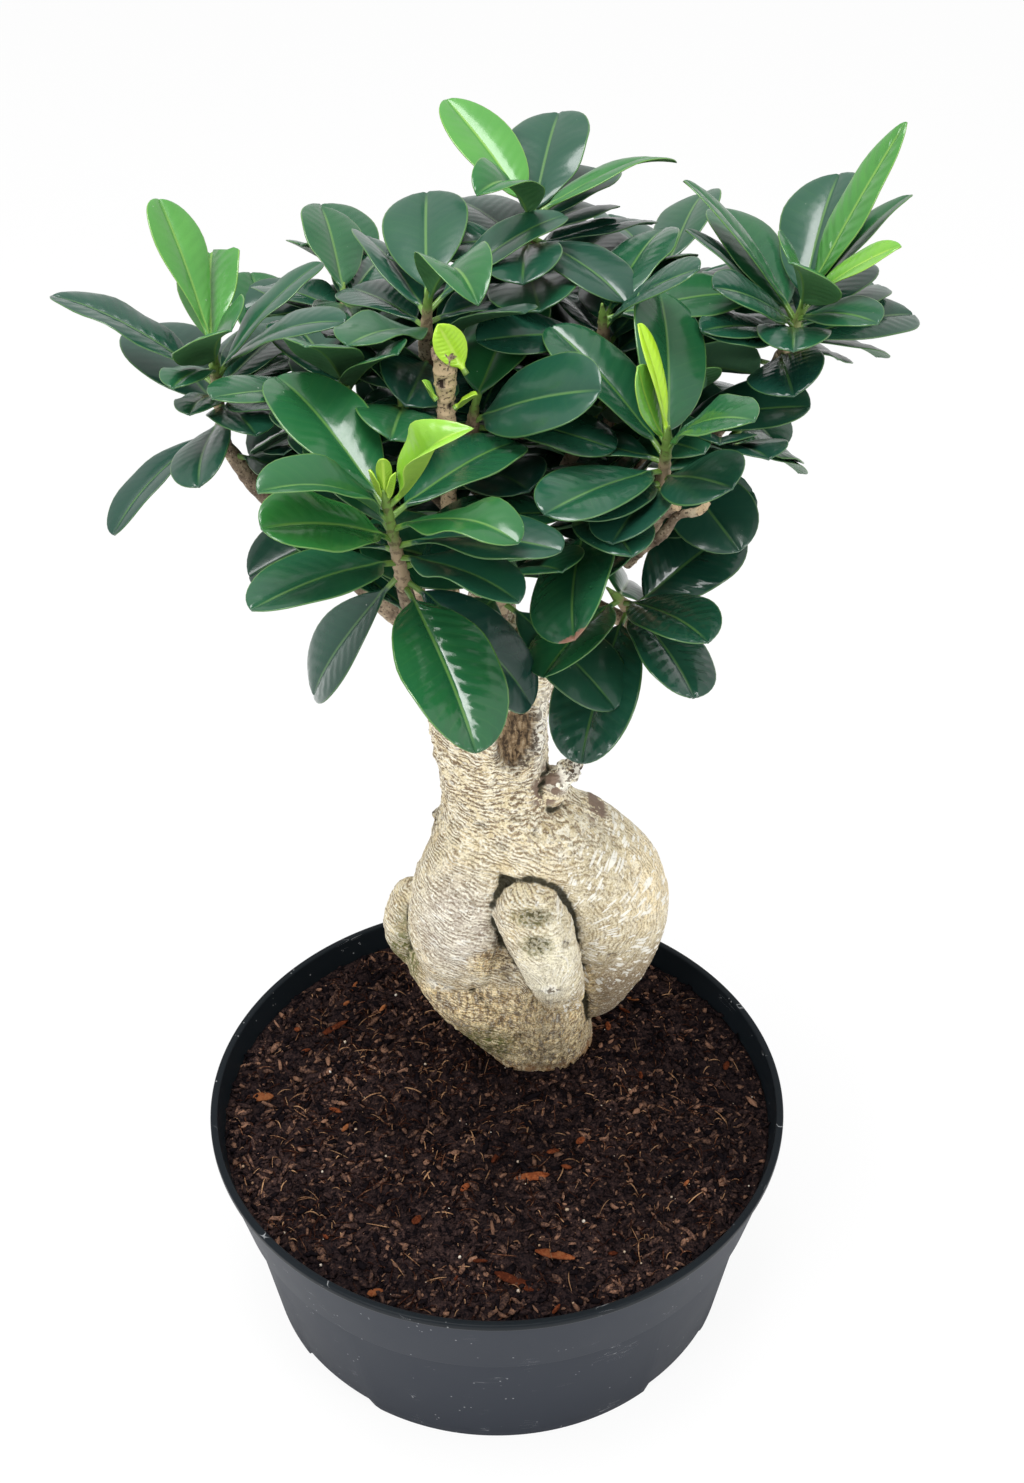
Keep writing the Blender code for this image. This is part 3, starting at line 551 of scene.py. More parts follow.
SOFTENING = 14                         # rounds of smoothing that take out the voxels' steps
NECK_AXIS = (-3, 20)
GRAFT_HEIGHT, GRAFT_RADIUS = 268, 14   # the swelling inside the neck that a branch starts from
BURIED = 66.0                          # the root's last part below the peat is left off, mm


def fused_roots():
    """The balls of all roots and of the branches' swollen feet, melted into one skin."""
    rows = list(ROOTS.values())
    for points in BRANCHES.values():
        first, second = np.array(points[0], float), np.array(points[1], float)
        heart = np.array((*(first[:2] + NECK_AXIS) / 2, GRAFT_HEIGHT, GRAFT_RADIUS))
        rows.append([heart, first + (0, 0, 0, 5.5), second + (0, 0, 2, 1.6),
                     second * 0.7 + np.array(points[2]) * 0.3 + (0, 0, 0, 0.4)])
    balls = bpy.data.meshes.new("balls")
    ball, triangles = icosphere(3)
    points, faces = [], []
    for row in rows:
        last = None
        for x, y, z, r in smooth_route(row, 12):
            centre = np.array((x, y, z))
            if z < BURIED or last is not None and np.linalg.norm(centre - last) < BALL_STEP * r:
                continue
            last = centre
            faces.append(triangles + len(points) * len(ball))
            points.append(centre + ball * r)
    balls.from_pydata((np.concatenate(points) * MM).tolist(), [], np.concatenate(faces).tolist())
    lump = add_object("balls", balls)
    fuse = lump.modifiers.new("fuse", "REMESH")
    fuse.mode = "VOXEL"
    fuse.voxel_size = SKIN_VOXEL * MM
    soften = lump.modifiers.new("soften", "SMOOTH")
    soften.factor = 0.5
    soften.iterations = SOFTENING
    bpy.context.view_layer.update()
    graph = bpy.context.evaluated_depsgraph_get()
    mesh = bpy.data.meshes.new_from_object(lump.evaluated_get(graph))
    bpy.data.objects.remove(lump)
    mesh.name = "root_skin"
    return mesh


def icosphere(splits):
    """A ball of radius 1 as points and triangles."""
    lump = bpy.data.meshes.new("unit ball")
    work = bmesh.new()
    bmesh.ops.create_icosphere(work, subdivisions=splits, radius=1.0)
    work.to_mesh(lump)
    work.free()
    return read_points(lump), np.array([tuple(face.vertices) for face in lump.polygons])


def read_points(mesh, what="co"):
    values = np.zeros(len(mesh.vertices) * 3, np.float32)
    if what == "co":
        mesh.vertices.foreach_get("co", values)
    else:
        mesh.vertex_normals.foreach_get("vector", values)
    return values.reshape(-1, 3).astype(float)


# %% [markdown]
# Bark has its own relief on every part. The neck is ringed with fine wrinkles, the bulges are almost
# smooth, the foot is rough, a cut branch has left an oval scar, and the curled root at the front
# has two small hollows. Points are pushed along their normals by noise that is strong or weak in
# the right places, and the creases are deepened where the skin is hollow.
# %% Relief of the bark
def spot(points, centre, size):
    """1 in the middle of an egg-shaped region and 0 outside it, in mm."""
    return 1 - step(np.linalg.norm((points - centre) / np.array(size, float), axis=1), 0.35, 1.0)


def hollowness(points, edges, normals, rounds):
    """How deep each point lies in a fold of the skin: it is compared with its softened neighbourhood."""
    soft = points.copy()
    degree = np.bincount(edges.ravel(), minlength=len(points))[:, None]
    for _ in range(rounds):
        total = np.stack([np.bincount(edges[:, 0], soft[edges[:, 1], k], len(points))
                          + np.bincount(edges[:, 1], soft[edges[:, 0], k], len(points))
                          for k in range(3)], 1)
        soft = 0.5 * soft + 0.5 * total / degree
    return ((soft - points) * normals).sum(1)


SCAR, SCAR_SIZE = (7.6, -1, 265.5), (8.0, 14, 15.5)
CRACK = ((10.5, -3, 218.5), (17.5, 1, 230.0))
EAR = (19.0, 176.0)                    # the curled root's middle seen from the front: x and z
# where each hollow lies, its size and its depth
HOLLOWS = [((14.0, -18, 198.6), (8.5, 6, 3.4), 3.0), ((15, -21.6, 187.6), (6.2, 6, 5.2), 2.6),
           ((26, -17, 185), (2.6, 4, 3.0), 0.9), ((-5, -1.5, 228), (2.6, 4, 2.4), 0.9),
           ((7.5, -1.3, 231), (2.4, 5, 1.8), 1.0), ((1.8, -4.6, 220.6), (3.2, 5, 2.6), 1.0),
           ((44, 2.7, 160.8), (3.4, 6, 3.0), 1.0)]


def bark_rows(points):
    """The count of rows across the wrinkles, and the way around and along them."""
    x, y, z = points.T
    out = np.hypot(x - EAR[0], z - EAR[1]) + 0.9 * np.clip(y - 16, 0, None)
    level = z + (0.10 + 0.40 * step(z, 236, 204)) * x
    ringed = EAR[1] + 0.5 * EAR[0] + out
    across = level + (ringed - level) * step(x, 8, 30) * step(z, 240, 214)
    around = np.arctan2(x - EAR[0], z - EAR[1]) * 42
    along = np.arctan2(y - 24, x - 2) * 28
    return across, around, along


def root_regions(points):
    """How much each point belongs to each region of the root, from 0 to 1."""
    x, y, z = points.T
    here = SimpleNamespace()
    here.neck = step(z, 206, 226)
    here.foot = step(z, 160, 142) * step(x, 44, 34)
    here.left = spot(points, (-14, -10, 186), (24, 26, 34))
    here.ear = spot(points, (19, -16, 174), (17, 16, 30))
    here.bulge = step(x, 14, 28) * step(z, 222, 206) * step(z, 120, 140) * (1 - here.ear)
    here.calm = np.clip(here.left + step(x, 18, 40) * step(z, 120, 150) * (1 - here.neck), 0, 1)
    here.ragged = np.clip(spot(points, (25, 10, 243), (10, 13, 12)) * 1.6, 0, 1)
    here.strip = spot(points, (4.5, -12, 165), (7.5, 16, 19)) * step(z, 184, 176)
    here.crust = spot(points, (20.7, -19, 164.6), (5.5, 7, 4))
    start, end = (np.array(corner, float) for corner in CRACK)
    share = np.clip((points - start) @ (end - start) / ((end - start) @ (end - start)), 0, 1)
    off_crack = np.linalg.norm(points - start - share[:, None] * (end - start), axis=1)
    here.crack = 1 - step(off_crack, 0.3, 1.1)
    frayed = 0.16 * wobble(points, 3.0, 2, 61)
    from_scar = np.linalg.norm((points - SCAR) / np.array(SCAR_SIZE, float), axis=1) + frayed
    here.from_scar = np.where(y > 12, 3, from_scar)        # 1 on the scar's edge, and more outside
    return here


def bark_relief(points, here, rows):
    """How far each point stands out from the smooth root, in mm."""
    x, y, z = points.T
    coarse, fine, warp = wobble(points, 9, 3), wobble(points, 2.2, 3, 40), wobble(points, 14, 2, 80)
    rings = np.sin((rows + 4.5 * warp) * math.tau / 2.6)
    wide = np.sin((rows + 7 * warp) * math.tau / 7.5)
    lift = 0.55 * coarse * (1 - 0.45 * here.calm)
    lift += fine * (0.16 + 0.34 * here.foot + 0.26 * here.neck - 0.08 * here.calm)
    lift += rings * (0.07 + 0.13 * here.neck + 0.05 * here.foot) + wide * (0.16 + 0.18 * here.neck)
    splinters = 1.5 * wobble(points, 3.4, 3, 17) + 0.5 * np.abs(wobble(points, 1.9, 2, 23))
    lift += here.ragged * splinters
    callus = np.exp(-((here.from_scar - 1.10) / 0.14) ** 2)
    lift += 1.5 * callus - 2.9 * (1 - step(here.from_scar, 0.62, 0.92))
    grain = wobble(points * (2.2, 1, 0.5), 2.4, 2, 33)
    lift += (1 - step(here.from_scar, 0.6, 0.95)) * (fine * 0.5 + grain * 0.5)
    for centre, size, depth in HOLLOWS:
        lift -= depth * spot(points, centre, size) * (1 + 0.5 * fine)
    strand = np.abs(x - (16.0 + 0.10 * (z - 262) + 1.2 * warp)) / 2.8
    lift += 2.2 * np.exp(-strand ** 2) * step(z, 240, 254) * step(y, 14, 4)
    lift += here.crust * (0.8 + 1.2 * np.abs(fine)) - 1.1 * here.strip - 0.7 * here.crack
    return lift


# %% Notes for the finish
# Stains and painted shade by name: the strength, the middle and the size of each spot. The dark spots in
# the hollows are painted shade.
STAINS_AND_SHADE = {
    "brown": [(1.0, (-2, -9, 168), (13, 18, 12))],
    "green": [(1.0, (-37, 10, 152), (12, 22, 14)), (1.0, (-6, 2, 106), (20, 28, 24)),
              (1.0, (14, -19, 198.2), (12, 9, 4.6)), (1.0, (15, -22, 187.6), (8.5, 9, 7.0)),
              (0.7, (-34, 12, 165), (9, 16, 18))],
    # dark: a few darker spots, and painted shade in every hollow
    "dark": [(1.0, (30, 11, 246), (7, 10, 8)), (1.0, (-24, 18, 217), (5, 8, 5)),
             (0.7, (3, -9, 178), (7, 16, 7)), (0.6, (24, -14, 154.5), (13, 14, 3.4))]
            + [(0.8, centre, size) for centre, size, _ in HOLLOWS],
    "peeled": [(1.4, (18.5, 8, 237), (8, 14, 11)), (1.4, (38, 25, 217), (7, 14, 5))],
    "chalk": [(1.0, (17.5, 6, 262), (5.5, 16, 24)), (1.0, (-22, -6, 150), (9, 14, 6))],
}
print("stains:", ", ".join(STAINS_AND_SHADE))


def note_regions(mesh, points, here, rows):
    """Write on every point what the finish has to know of it."""
    stain = {name: sum(strength * spot(points, centre, size) for strength, centre, size in spots)
             for name, spots in STAINS_AND_SHADE.items()}
    stain["brown"] += here.foot * 0.9
    # painted shade in the sunken strip and in the crack
    stain["dark"] += here.strip * 0.9 + here.crack
    stain["chalk"] += here.ragged + here.crust
    stain = {name: np.clip(values, 0, 1) for name, values in stain.items()}
    # painted shade on the wall of the sunken scar
    rim = np.exp(-((here.from_scar - 0.93) / 0.13) ** 2)
    write_note(mesh, "dark", np.clip(stain["dark"] + rim, 0, 1))
    write_note(mesh, "wound", 1 - step(here.from_scar, 0.80, 0.96))
    write_note(mesh, "peeled", stain["peeled"])
    write_note(mesh, "regions", np.stack([here.left, stain["brown"], stain["green"]], 1))
    write_note(mesh, "zones", np.stack([here.bulge, here.ear, stain["chalk"]], 1))
    write_note(mesh, "rows", np.stack(rows, 1))


def carve(mesh):
    points, normals = read_points(mesh) / MM, read_points(mesh, "normals")
    edges = np.array([edge.vertices[:] for edge in mesh.edges])
    fold = hollowness(points, edges, normals, 30)
    points = points - normals * np.clip(fold * 2.2 - 0.35, 0, 2.8)[:, None]
    here, rows = root_regions(points), bark_rows(points)
    points = points + normals * bark_relief(points, here, rows[0])[:, None]
    mesh.vertices.foreach_set("co", (points * MM).astype(np.float32).ravel())
    mesh.update()
    # painted shade: how deep each point lies in a crease, so that it can be darkened there
    crease = hollowness(points, edges, read_points(mesh, "normals"), 12)
    write_note(mesh, "crease", 0.35 * np.clip(crease / 0.9, -1, 1) + 0.65 * np.clip(fold, -1, 1))
    note_regions(mesh, points, here, rows)
    print("creases up to", round(float(fold.max()), 1), "mm deep")
    return mesh


# %% [markdown]
# The bark is a pale cream, drawn all over with fine rows of wrinkles. On the neck the rows run
# around it, and on the round bulge they circle the curled root. The left side has a grey-lilac
# skin, the foot is brown and fibrous, and green algae sit in the hollows. Short pale dashes are
# breathing pores. Each pattern is laid out in the rows' own coordinates, so it follows the wood.
# %% The bark's colours
BARK = {
    "deep buff": (0.58, 0.46, 0.26, 1), "cream": (0.80, 0.69, 0.45, 1), "buff": (0.68, 0.53, 0.30, 1),
    "lilac grey": (0.50, 0.45, 0.41, 1), "olive grey": (0.42, 0.365, 0.240, 1),
    # the first colour below is a painted highlight for the root's lit right side
    "painted highlight": (0.96, 0.80, 0.50, 1), "pale root": (0.90, 0.86, 0.66, 1),
    "bone": (0.90, 0.84, 0.68, 1), "shade": (0.27, 0.18, 0.095, 1), "umber": (0.09, 0.045, 0.015, 1),
    "ochre": (0.66, 0.43, 0.16, 1), "straw": (0.98, 0.78, 0.42, 1), "ridge": (0.95, 0.90, 0.76, 1),
    "furrow": (0.21, 0.14, 0.08, 1), "streak": (0.17, 0.11, 0.06, 1),
    "fibre": (0.085, 0.048, 0.024, 1), "dark grain": (0.22, 0.15, 0.08, 1),
    "light grain": (0.95, 0.90, 0.74, 1), "pit": (0.12, 0.08, 0.045, 1),
    "pore": (0.96, 0.93, 0.84, 1), "algae": (0.12, 0.13, 0.03, 1), "chalk": (0.96, 0.92, 0.80, 1),
    "dirt": (0.10, 0.065, 0.035, 1), "peeled": (0.24, 0.17, 0.125, 1), "soil": (0.34, 0.130, 0.035, 1),
    "old wood": (0.055, 0.034, 0.018, 1), "wood": (0.27, 0.18, 0.095, 1),
    "pale wood": (0.42, 0.32, 0.20, 1), "shade and dark spots": (0.050, 0.030, 0.018, 1),
    # the last colour is painted shade for the creases
    "crease": (0.024, 0.022, 0.009, 1),
}
WRINKLE = 1.75                         # mm from one fine wrinkle to the next
print("colours of the bark:", len(BARK))


# %% Root bark
def root_bark():
    finish = Finish("root bark", Specular_IOR_Level=0.3)
    at = finish.place()
    crease, dark, peeled, wound = (finish.note(name) for name in ("crease", "dark", "peeled", "wound"))
    smooth, brown, green = (finish.note("regions", part) for part in "XYZ")
    bulge, ear, chalk = (finish.note("zones", part) for part in "XYZ")
    across, around, along = (finish.note("rows", part) for part in "XYZ")
    height = finish.part(at, "Z")
    neck = height.rise(212, 236)
    # painted shade: the lower root is darkened, apart from the brown foot
    low = height.rise(164, 138) * (1 - brown)
    # painted highlight: the upper right of the root, where the light falls, is lightened
    lit_side_highlight = finish.part(at, "X").rise(40, 60) * height.rise(150, 185)
    soil_line = height.rise(97, 84) * finish.cloud(5, 3).rise(0.30, 0.62)
    patch, mottle, grain = finish.cloud(11, 3), finish.cloud(3.4, 3), finish.cloud(1.1, 3)
    fine, crumbs = finish.cloud(0.75, 2), finish.cloud(1.6, 3).rise(0.50, 0.58)

    wave = ((across + patch * 9 + mottle * 2.2) * (math.tau / WRINKLE)).sine()
    furrow = wave.rise(0.20, 0.70) * finish.cloud(4.5, 2).rise(0.40, 0.52)
    ridge = wave.rise(-0.2, -0.7) * finish.cloud(5.5, 2).rise(0.42, 0.54)
    ridge = ridge * (0.8 - brown * 0.5 - bulge * 0.65 - ear * 0.3 - low * 0.6)
    streaks = finish.cloud(1, 2, finish.vector(across * 1.15, along * 0.36, around * 0.2))
    streaks = streaks.rise(0.55, 0.63)
    pits = finish.cells(1.7).rise(0.25, 0.12) * finish.cloud(8, 2).rise(0.46, 0.58)
    fibres = finish.cloud(1, 3, finish.place(0.85, 0.85, 0.20)).rise(0.50, 0.64)
    pores = finish.cells(1, finish.vector(across * 0.16, around * 0.46, 0)).rise(0.40, 0.30)
    pores = pores * finish.cloud(8, 1).rise(0.38, 0.46) * bulge
    dabs = finish.cells(1, finish.vector(across * 0.62, along * 0.20, 4)).rise(0.30, 0.20)
    dabs = dabs * finish.cloud(9, 1).rise(0.44, 0.54) * finish.most(smooth, ear * 0.8, neck * 0.5)
    dots = finish.cells(2.3).rise(0.26, 0.18) * finish.cloud(7, 1).rise(0.42, 0.54)
    pale = finish.most(pores, dabs, dots * (1 - neck) * (1 - brown))

    skin_colour = finish.ramp(patch, (0.32, BARK["deep buff"]), (0.50, BARK["cream"]),
                              (0.70, BARK["buff"]))
    foot = finish.ramp(finish.cloud(3.2, 3, finish.place(1.5, 1.5, 0.5)),
                       (0.38, BARK["umber"]), (0.44, BARK["ochre"]), (0.54, BARK["straw"]))
    wood = finish.ramp(finish.cloud(1, 3, finish.place(0.75, 0.75, 0.18)),
                       (0.40, BARK["old wood"]), (0.55, BARK["wood"]), (0.68, BARK["pale wood"]))
    colour = finish.coats(
        skin_colour,
        (smooth * 0.8, BARK["lilac grey"]),
        (bulge * (0.28 + 0.4 * mottle), BARK["olive grey"]),
        # painted highlight on the lit right side
        (lit_side_highlight * 0.8, BARK["painted highlight"]),
        (ear * 0.75, BARK["pale root"]),
        (mottle.rise(0.42, 0.66) * 0.45, BARK["bone"]),
        # painted shade on the lower root
        (low * 0.8, BARK["shade"]),
        (brown * (0.7 + 0.3 * finish.cloud(6, 3)), foot),
        (ridge, BARK["ridge"]),
        (furrow * (0.70 + 0.25 * neck - 0.24 * bulge - 0.50 * ear - 0.2 * smooth), BARK["furrow"]),
        (streaks * (0.45 + 0.35 * neck - 0.2 * bulge - 0.3 * ear), BARK["streak"]),
        (fibres * brown * 0.6, BARK["fibre"]),
        (fine.rise(0.54, 0.62) * (0.40 + 0.3 * brown), BARK["dark grain"]),
        (fine.rise(0.46, 0.38) * 0.45, BARK["light grain"]),
        (pits * (0.35 + 0.3 * brown), BARK["pit"]),
        (pale * 0.9, BARK["pore"]),
        (green * (0.35 + 0.6 * crumbs), BARK["algae"]),
        (chalk * finish.cloud(3, 3).rise(0.40, 0.48), BARK["chalk"]),
        (chalk * crumbs * 0.8, BARK["dirt"]),
        (peeled * finish.cloud(4, 3).rise(0.44, 0.48), BARK["peeled"]),
        (soil_line * 0.85, BARK["soil"]),
        (wound, wood),
        # painted shade in the hollows, the crack, the sunken strip and round the scar, and a few darker
        # spots
        (dark * (0.35 + 0.6 * crumbs), BARK["shade and dark spots"]),
        # painted shade, near black, deep in the creases
        (crease.rise(0.26, 0.60) * 0.96, BARK["crease"]))
    relief = grain * 0.6 - furrow * 0.8 + ridge * 0.5 - streaks * 0.4 - pits * 0.6 + pale * 0.4
    finish.use(Base_Color=colour, Roughness=0.62 + 0.2 * grain,
               Normal=finish.bump(relief, 0.4, 0.9))
    return finish


as_piece("swollen_root", carve(fused_roots()), root_bark(), "root_bark", "trunk")


# %% [markdown]
# ## Where the leaves stand
# A leaf is noted as a grower would see it: the heading of its midrib from above, how steeply it
# rises, its length and width, how far it rolls about its midrib and how much it droops. A shoot is a
# short stem with such leaves up its length. The shoots that face the viewer are noted leaf by leaf,
# and those at the back follow the plant's own rule, a turn of 137.5 degrees from leaf to leaf.
# %% Shoots, in mm and degrees
PETIOLE = 0.13                         # share of a leaf's length that is its stalk
# Each leaf is (turn, lift, length, width, roll, bend), oldest first. Turn is 0 to the right, 90
# away, 180 to the left and 270 to the front. "at" is the place along the branch, if not its end.
SHOOTS = {
    "front_left": dict(on="front", foot=(-25, -65, 363.4), tip=(-28, -80, 398), leaves=[
        (293, -23, 60, 31, -7, 22), (347, -44, 54, 28, 6, 25), (182, -55, 50, 24, -23, 20),
        (20, -10, 54, 28, 0, 20), (224, 6, 52, 24, -7, 30), (318, 6, 46, 22, -3, 25),
        (127, -21, 42, 22, 2, 25), (334, 12, 52, 22, -2, 30), (223, 25, 48, 22, -26, 35),
        (130, 25, 40, 20, 0, 20), (321, 18, 46, 20, 1, 35), (221, 34, 48, 18, -16, 60),
        (48, 6, 52, 24, 0, 20), (128, 23, 58, 27, 2, 20), (327, 59, 36, 14, 40, -35)]),
    "low_right": dict(on="right", at=0.30, foot=(44, -30, 334), tip=(38, -35, 343), leaves=[
        (36, 5, 46, 27, 11, 20), (250, -32, 54, 30, 16, 20), (294, -8, 46, 25, -12, 25),
        (300, 14, 46, 24, 5, 25), (238, -4, 46, 24, 15, 25), (80, 0, 36, 22, 0, 20)]),
    "centre": dict(on="right", at=0.22, foot=(29, -40, 369), tip=(25, -45, 379), leaves=[
        (263, -12, 48, 30, 34, 25), (125, -35, 44, 26, 0, 20), (288, 14, 40, 22, 0, 25),
        (200, 5, 46, 25, 0, 25), (30, -20, 42, 24, 0, 20), (100, -10, 46, 26, 0, 20)]),
    "stub": dict(on="leader", at=0.40, foot=(-24, -26, 393), tip=(-26, -29, 404), leaves=[
        (247, 27, 40, 22, 0, 30), (150, -5, 42, 24, 0, 20), (200, 10, 42, 22, 10, 30),
        (106, 2, 44, 24, 30, 25), (268, 12, 36, 24, 0, 20)]),
    "stub_side": dict(on="leader", at=0.50, foot=(-6, -24, 393), tip=(-5, -29, 403), leaves=[
        (20, -20, 46, 25, 0, 20), (318, 27, 54, 27, 40, 25), (340, -5, 44, 25, 0, 20),
        (72, 18, 52, 28, -13, 20)]),
    "mid_right": dict(on="right", at=0.42, foot=(50, -40, 382), tip=(50, -50, 403), leaves=[
        (246, -3, 40, 22, 33, 25), (231, 7, 42, 22, 0, 20), (297, 20, 38, 24, 25, 25),
        (68, -10, 34, 20, 0, 20), (225, 5, 50, 24, -3, 20), (69, 14, 40, 16, -55, 20),
        (150, 0, 36, 20, 0, 20), (133, 28, 54, 25, 8, 20), (90, 37, 54, 26, 32, 20),
        (300, 34, 42, 20, 23, 40), (184, 69, 26, 13, -27, -20), (140, 56, 34, 11, 21, 20)]),
    "left": dict(on="left", foot=(-86, 10, 377.4), tip=(-85, 0, 408), leaves=[
        (232, -19, 52, 18, 15, 30), (268, 1, 44, 20, 23, 25), (60, -14, 44, 22, 0, 20),
        (127, 13, 52, 29, -6, 20), (295, 10, 38, 20, 0, 25), (66, 0, 48, 26, 0, 20),
        (262, 16, 30, 14, 0, 25), (60, 10, 40, 22, 0, 20), (159, 22, 60, 20, 7, 25),
        (46, 30, 52, 18, -20, 30), (334, 30, 54, 20, 8, 35), (256, 19, 32, 15, 0, 25),
        (287, 41, 38, 27, 35, 35), (95, 39, 48, 23, -27, 15), (119, 46, 52, 20, 27, 15)]),
    "crown_left": dict(on="leader", at=0.62, foot=(-20, 0, 413), tip=(-19, -5, 426), leaves=[
        (243, 12, 46, 22, -1, 25), (125, -2, 44, 22, -2, 20), (20, -20, 40, 22, 0, 20),
        (116, 12, 50, 22, 22, 20), (38, 23, 54, 20, -6, 30), (292, 33, 46, 20, 10, 70),
        (92, 20, 52, 27, -9, 15)]),
    "crown_right": dict(on="right", at=0.55, foot=(34, 0, 410), tip=(33, -5, 421), leaves=[
        (114, 9, 46, 20, 18, 20), (200, 8, 42, 22, 0, 20), (84, 13, 50, 24, -44, 20),
        (317, 38, 44, 18, 22, 30), (65, 18, 50, 24, -16, 20), (10, 8, 46, 24, 0, 20)]),
    "right": dict(on="right", foot=(90.4, 15.1, 400.5), tip=(95, 10, 419), leaves=[
        (267, 6, 38, 24, 0, 25), (53, -29, 42, 20, 9, 20), (116, -8, 42, 22, 0, 20),
        (225, 21, 42, 22, -17, 30), (29, 0, 50, 24, 9, 25), (40, -15, 48, 24, 0, 20),
        (223, 27, 44, 16, -14, 30), (154, 39, 46, 16, 10, 25), (50, 3, 50, 24, 0, 20),
        (262, 14, 38, 22, 0, 35), (57, 12, 44, 26, 0, 20), (219, 31, 42, 20, -27, 25),
        (121, 33, 50, 25, 9, 20), (150, 44, 55, 16, 16, 15), (297, 27, 40, 18, 15, 25),
        (35, 36, 52, 18, -25, 20), (70, 37, 52, 28, -10, 15), (325, 50, 40, 13, 26, 30),
        (252, 42, 38, 26, -39, 30), (19, 62, 60, 16, 2, 10)]),
    "top": dict(on="leader", foot=(12, 35, 425.4), tip=(12, 30, 441), leaves=[
        (119, 2, 46, 25, 0, 20), (37, -2, 50, 20, -7, 20), (262, 5, 42, 24, 0, 30),
        (200, -8, 46, 25, 0, 20), (330, -25, 44, 24, 0, 20), (58, -5, 46, 24, 0, 20),
        (61, 8, 48, 26, 0, 20), (79, 25, 52, 27, -6, 15), (245, 39, 40, 18, -13, 45),
        (31, 16, 52, 17, -11, 20), (128, 30, 50, 22, -1, 15)]),
    "far_right": dict(on="right", at=0.72, foot=(70, 4, 371), tip=(76, 2, 380), leaves=[
        (285, 24, 44, 22, 0, 25), (270, 17, 40, 22, 0, 25), (43, -29, 46, 16, 7, 20),
        (38, -39, 36, 18, 34, 20), (57, -5, 38, 20, -14, 20)]),
    "inner_left": dict(on="left", at=0.45, foot=(-42, -15, 391), tip=(-43, -20, 406), leaves=[
        (260, 8, 40, 24, 0, 25), (140, -27, 44, 24, 0, 20), (165, -5, 40, 22, 0, 20),
        (256, 20, 44, 24, 0, 25), (345, 5, 40, 22, 0, 20), (30, 0, 44, 24, 0, 20),
        (223, 17, 50, 20, -3, 25), (115, 12, 44, 24, 0, 20), (306, 42, 36, 20, 0, 25),
        (258, 39, 44, 22, 0, 30)]),
    "back_left": dict(on="left", at=0.62, foot=(-49, 45, 397), tip=(-49, 50, 405), leaves=[
        (115, -6, 44, 24, 0, 20), (200, -10, 46, 25, 0, 25), (40, -5, 46, 25, 0, 20),
        (133, -4, 46, 22, 3, 20), (76, 4, 44, 24, 0, 20), (280, 15, 42, 24, 0, 20),
        (103, 22, 48, 22, 21, 15)]),
    "back_right": dict(on="leader", at=0.72, foot=(59, 65, 399), tip=(58, 70, 408), leaves=[
        (40, -8, 46, 25, 0, 20), (297, 27, 44, 24, 0, 20), (350, 5, 46, 25, 0, 20),
        (115, 15, 46, 25, 0, 20), (261, 28, 40, 22, 0, 25), (71, 16, 48, 24, -23, 15)]),
}

# Hidden shoots: the branch, the place along it, then reach and heading from the crown's axis and
# the height, with the leaves of each set in a spiral
HIDDEN_SHOOTS = {
    "under_right": ("right", 0.62, 50, 350, 366), "inner_front": ("front", 0.34, 54, 273, 336),
    "inner_mid": ("leader", 0.33, 32, 320, 372), "inner_low": ("left", 0.25, 40, 222, 352),
    "back_a": ("right", 0.34, 74, 35, 366), "back_b": ("back", 0.45, 76, 50, 354),
    "back_c": ("back", None, 76, 86, 372), "back_d": ("left", 0.40, 78, 148, 352),
    "back_e": ("leader", 0.42, 88, 118, 374),
}
CUT_TWIG = dict(on="front", at=0.60, foot=(-13, -36, 408), tip=(-13, -38, 424))
CROWN_AXIS = (0, 22)
SPIRAL = 137.5                         # degrees from leaf to leaf
SPIRAL_LEAVES = 7
print("shoots:", len(SHOOTS), "noted leaf by leaf,", len(HIDDEN_SHOOTS), "by rule")


# %% [markdown]
# Leaves may not run through each other or through wood. So each leaf is tried in its own pose and
# then in ever larger changes of it, against everything that has already found its place. The tests
# use coarse kite-shaped blades, which are quick to compare.
# %% Shoots by their rule, and coarse leaves
CLEARANCE = 0.8                        # how much larger a leaf is taken in the tests, mm
COARSE = [(0.28, 0.84), (0.74, 0.92)]  # stations along a blade and their share of its width
STALK_HALF, BLADE_HALF = 0.75, 0.5     # half thickness in the tests, mm
COARSE_FOLD = math.radians(9)
SHOOT_LENGTH = 20.0                    # mm, of a shoot that follows the rule


def spiral_shoots():
    pick = random.Random(11)
    made = {}
    for name, (branch, at, reach, heading, height) in HIDDEN_SHOOTS.items():
        away = math.radians(heading)
        foot = Vector((CROWN_AXIS[0] + reach * math.cos(away),
                       CROWN_AXIS[1] + reach * math.sin(away), height))
        way = Vector((math.cos(away) * 0.5, math.sin(away) * 0.5, 1)).normalized()
        start = pick.uniform(0, 360)
        leaves = []
        for k in range(SPIRAL_LEAVES):     # upward the leaves stand steeper and are smaller
            rise = -28 + 62 * k / (SPIRAL_LEAVES - 1) + pick.uniform(-6, 6)
            leaves.append(((start + SPIRAL * k) % 360, rise, 52 - 8 * k / SPIRAL_LEAVES,
                           28 - 3 * k / SPIRAL_LEAVES, pick.uniform(-10, 10), pick.uniform(15, 28)))
        made[name] = dict(on=branch, foot=tuple(foot), tip=tuple(foot + way * SHOOT_LENGTH),
                          leaves=leaves)
        if at is not None:
            made[name]["at"] = at
    return made


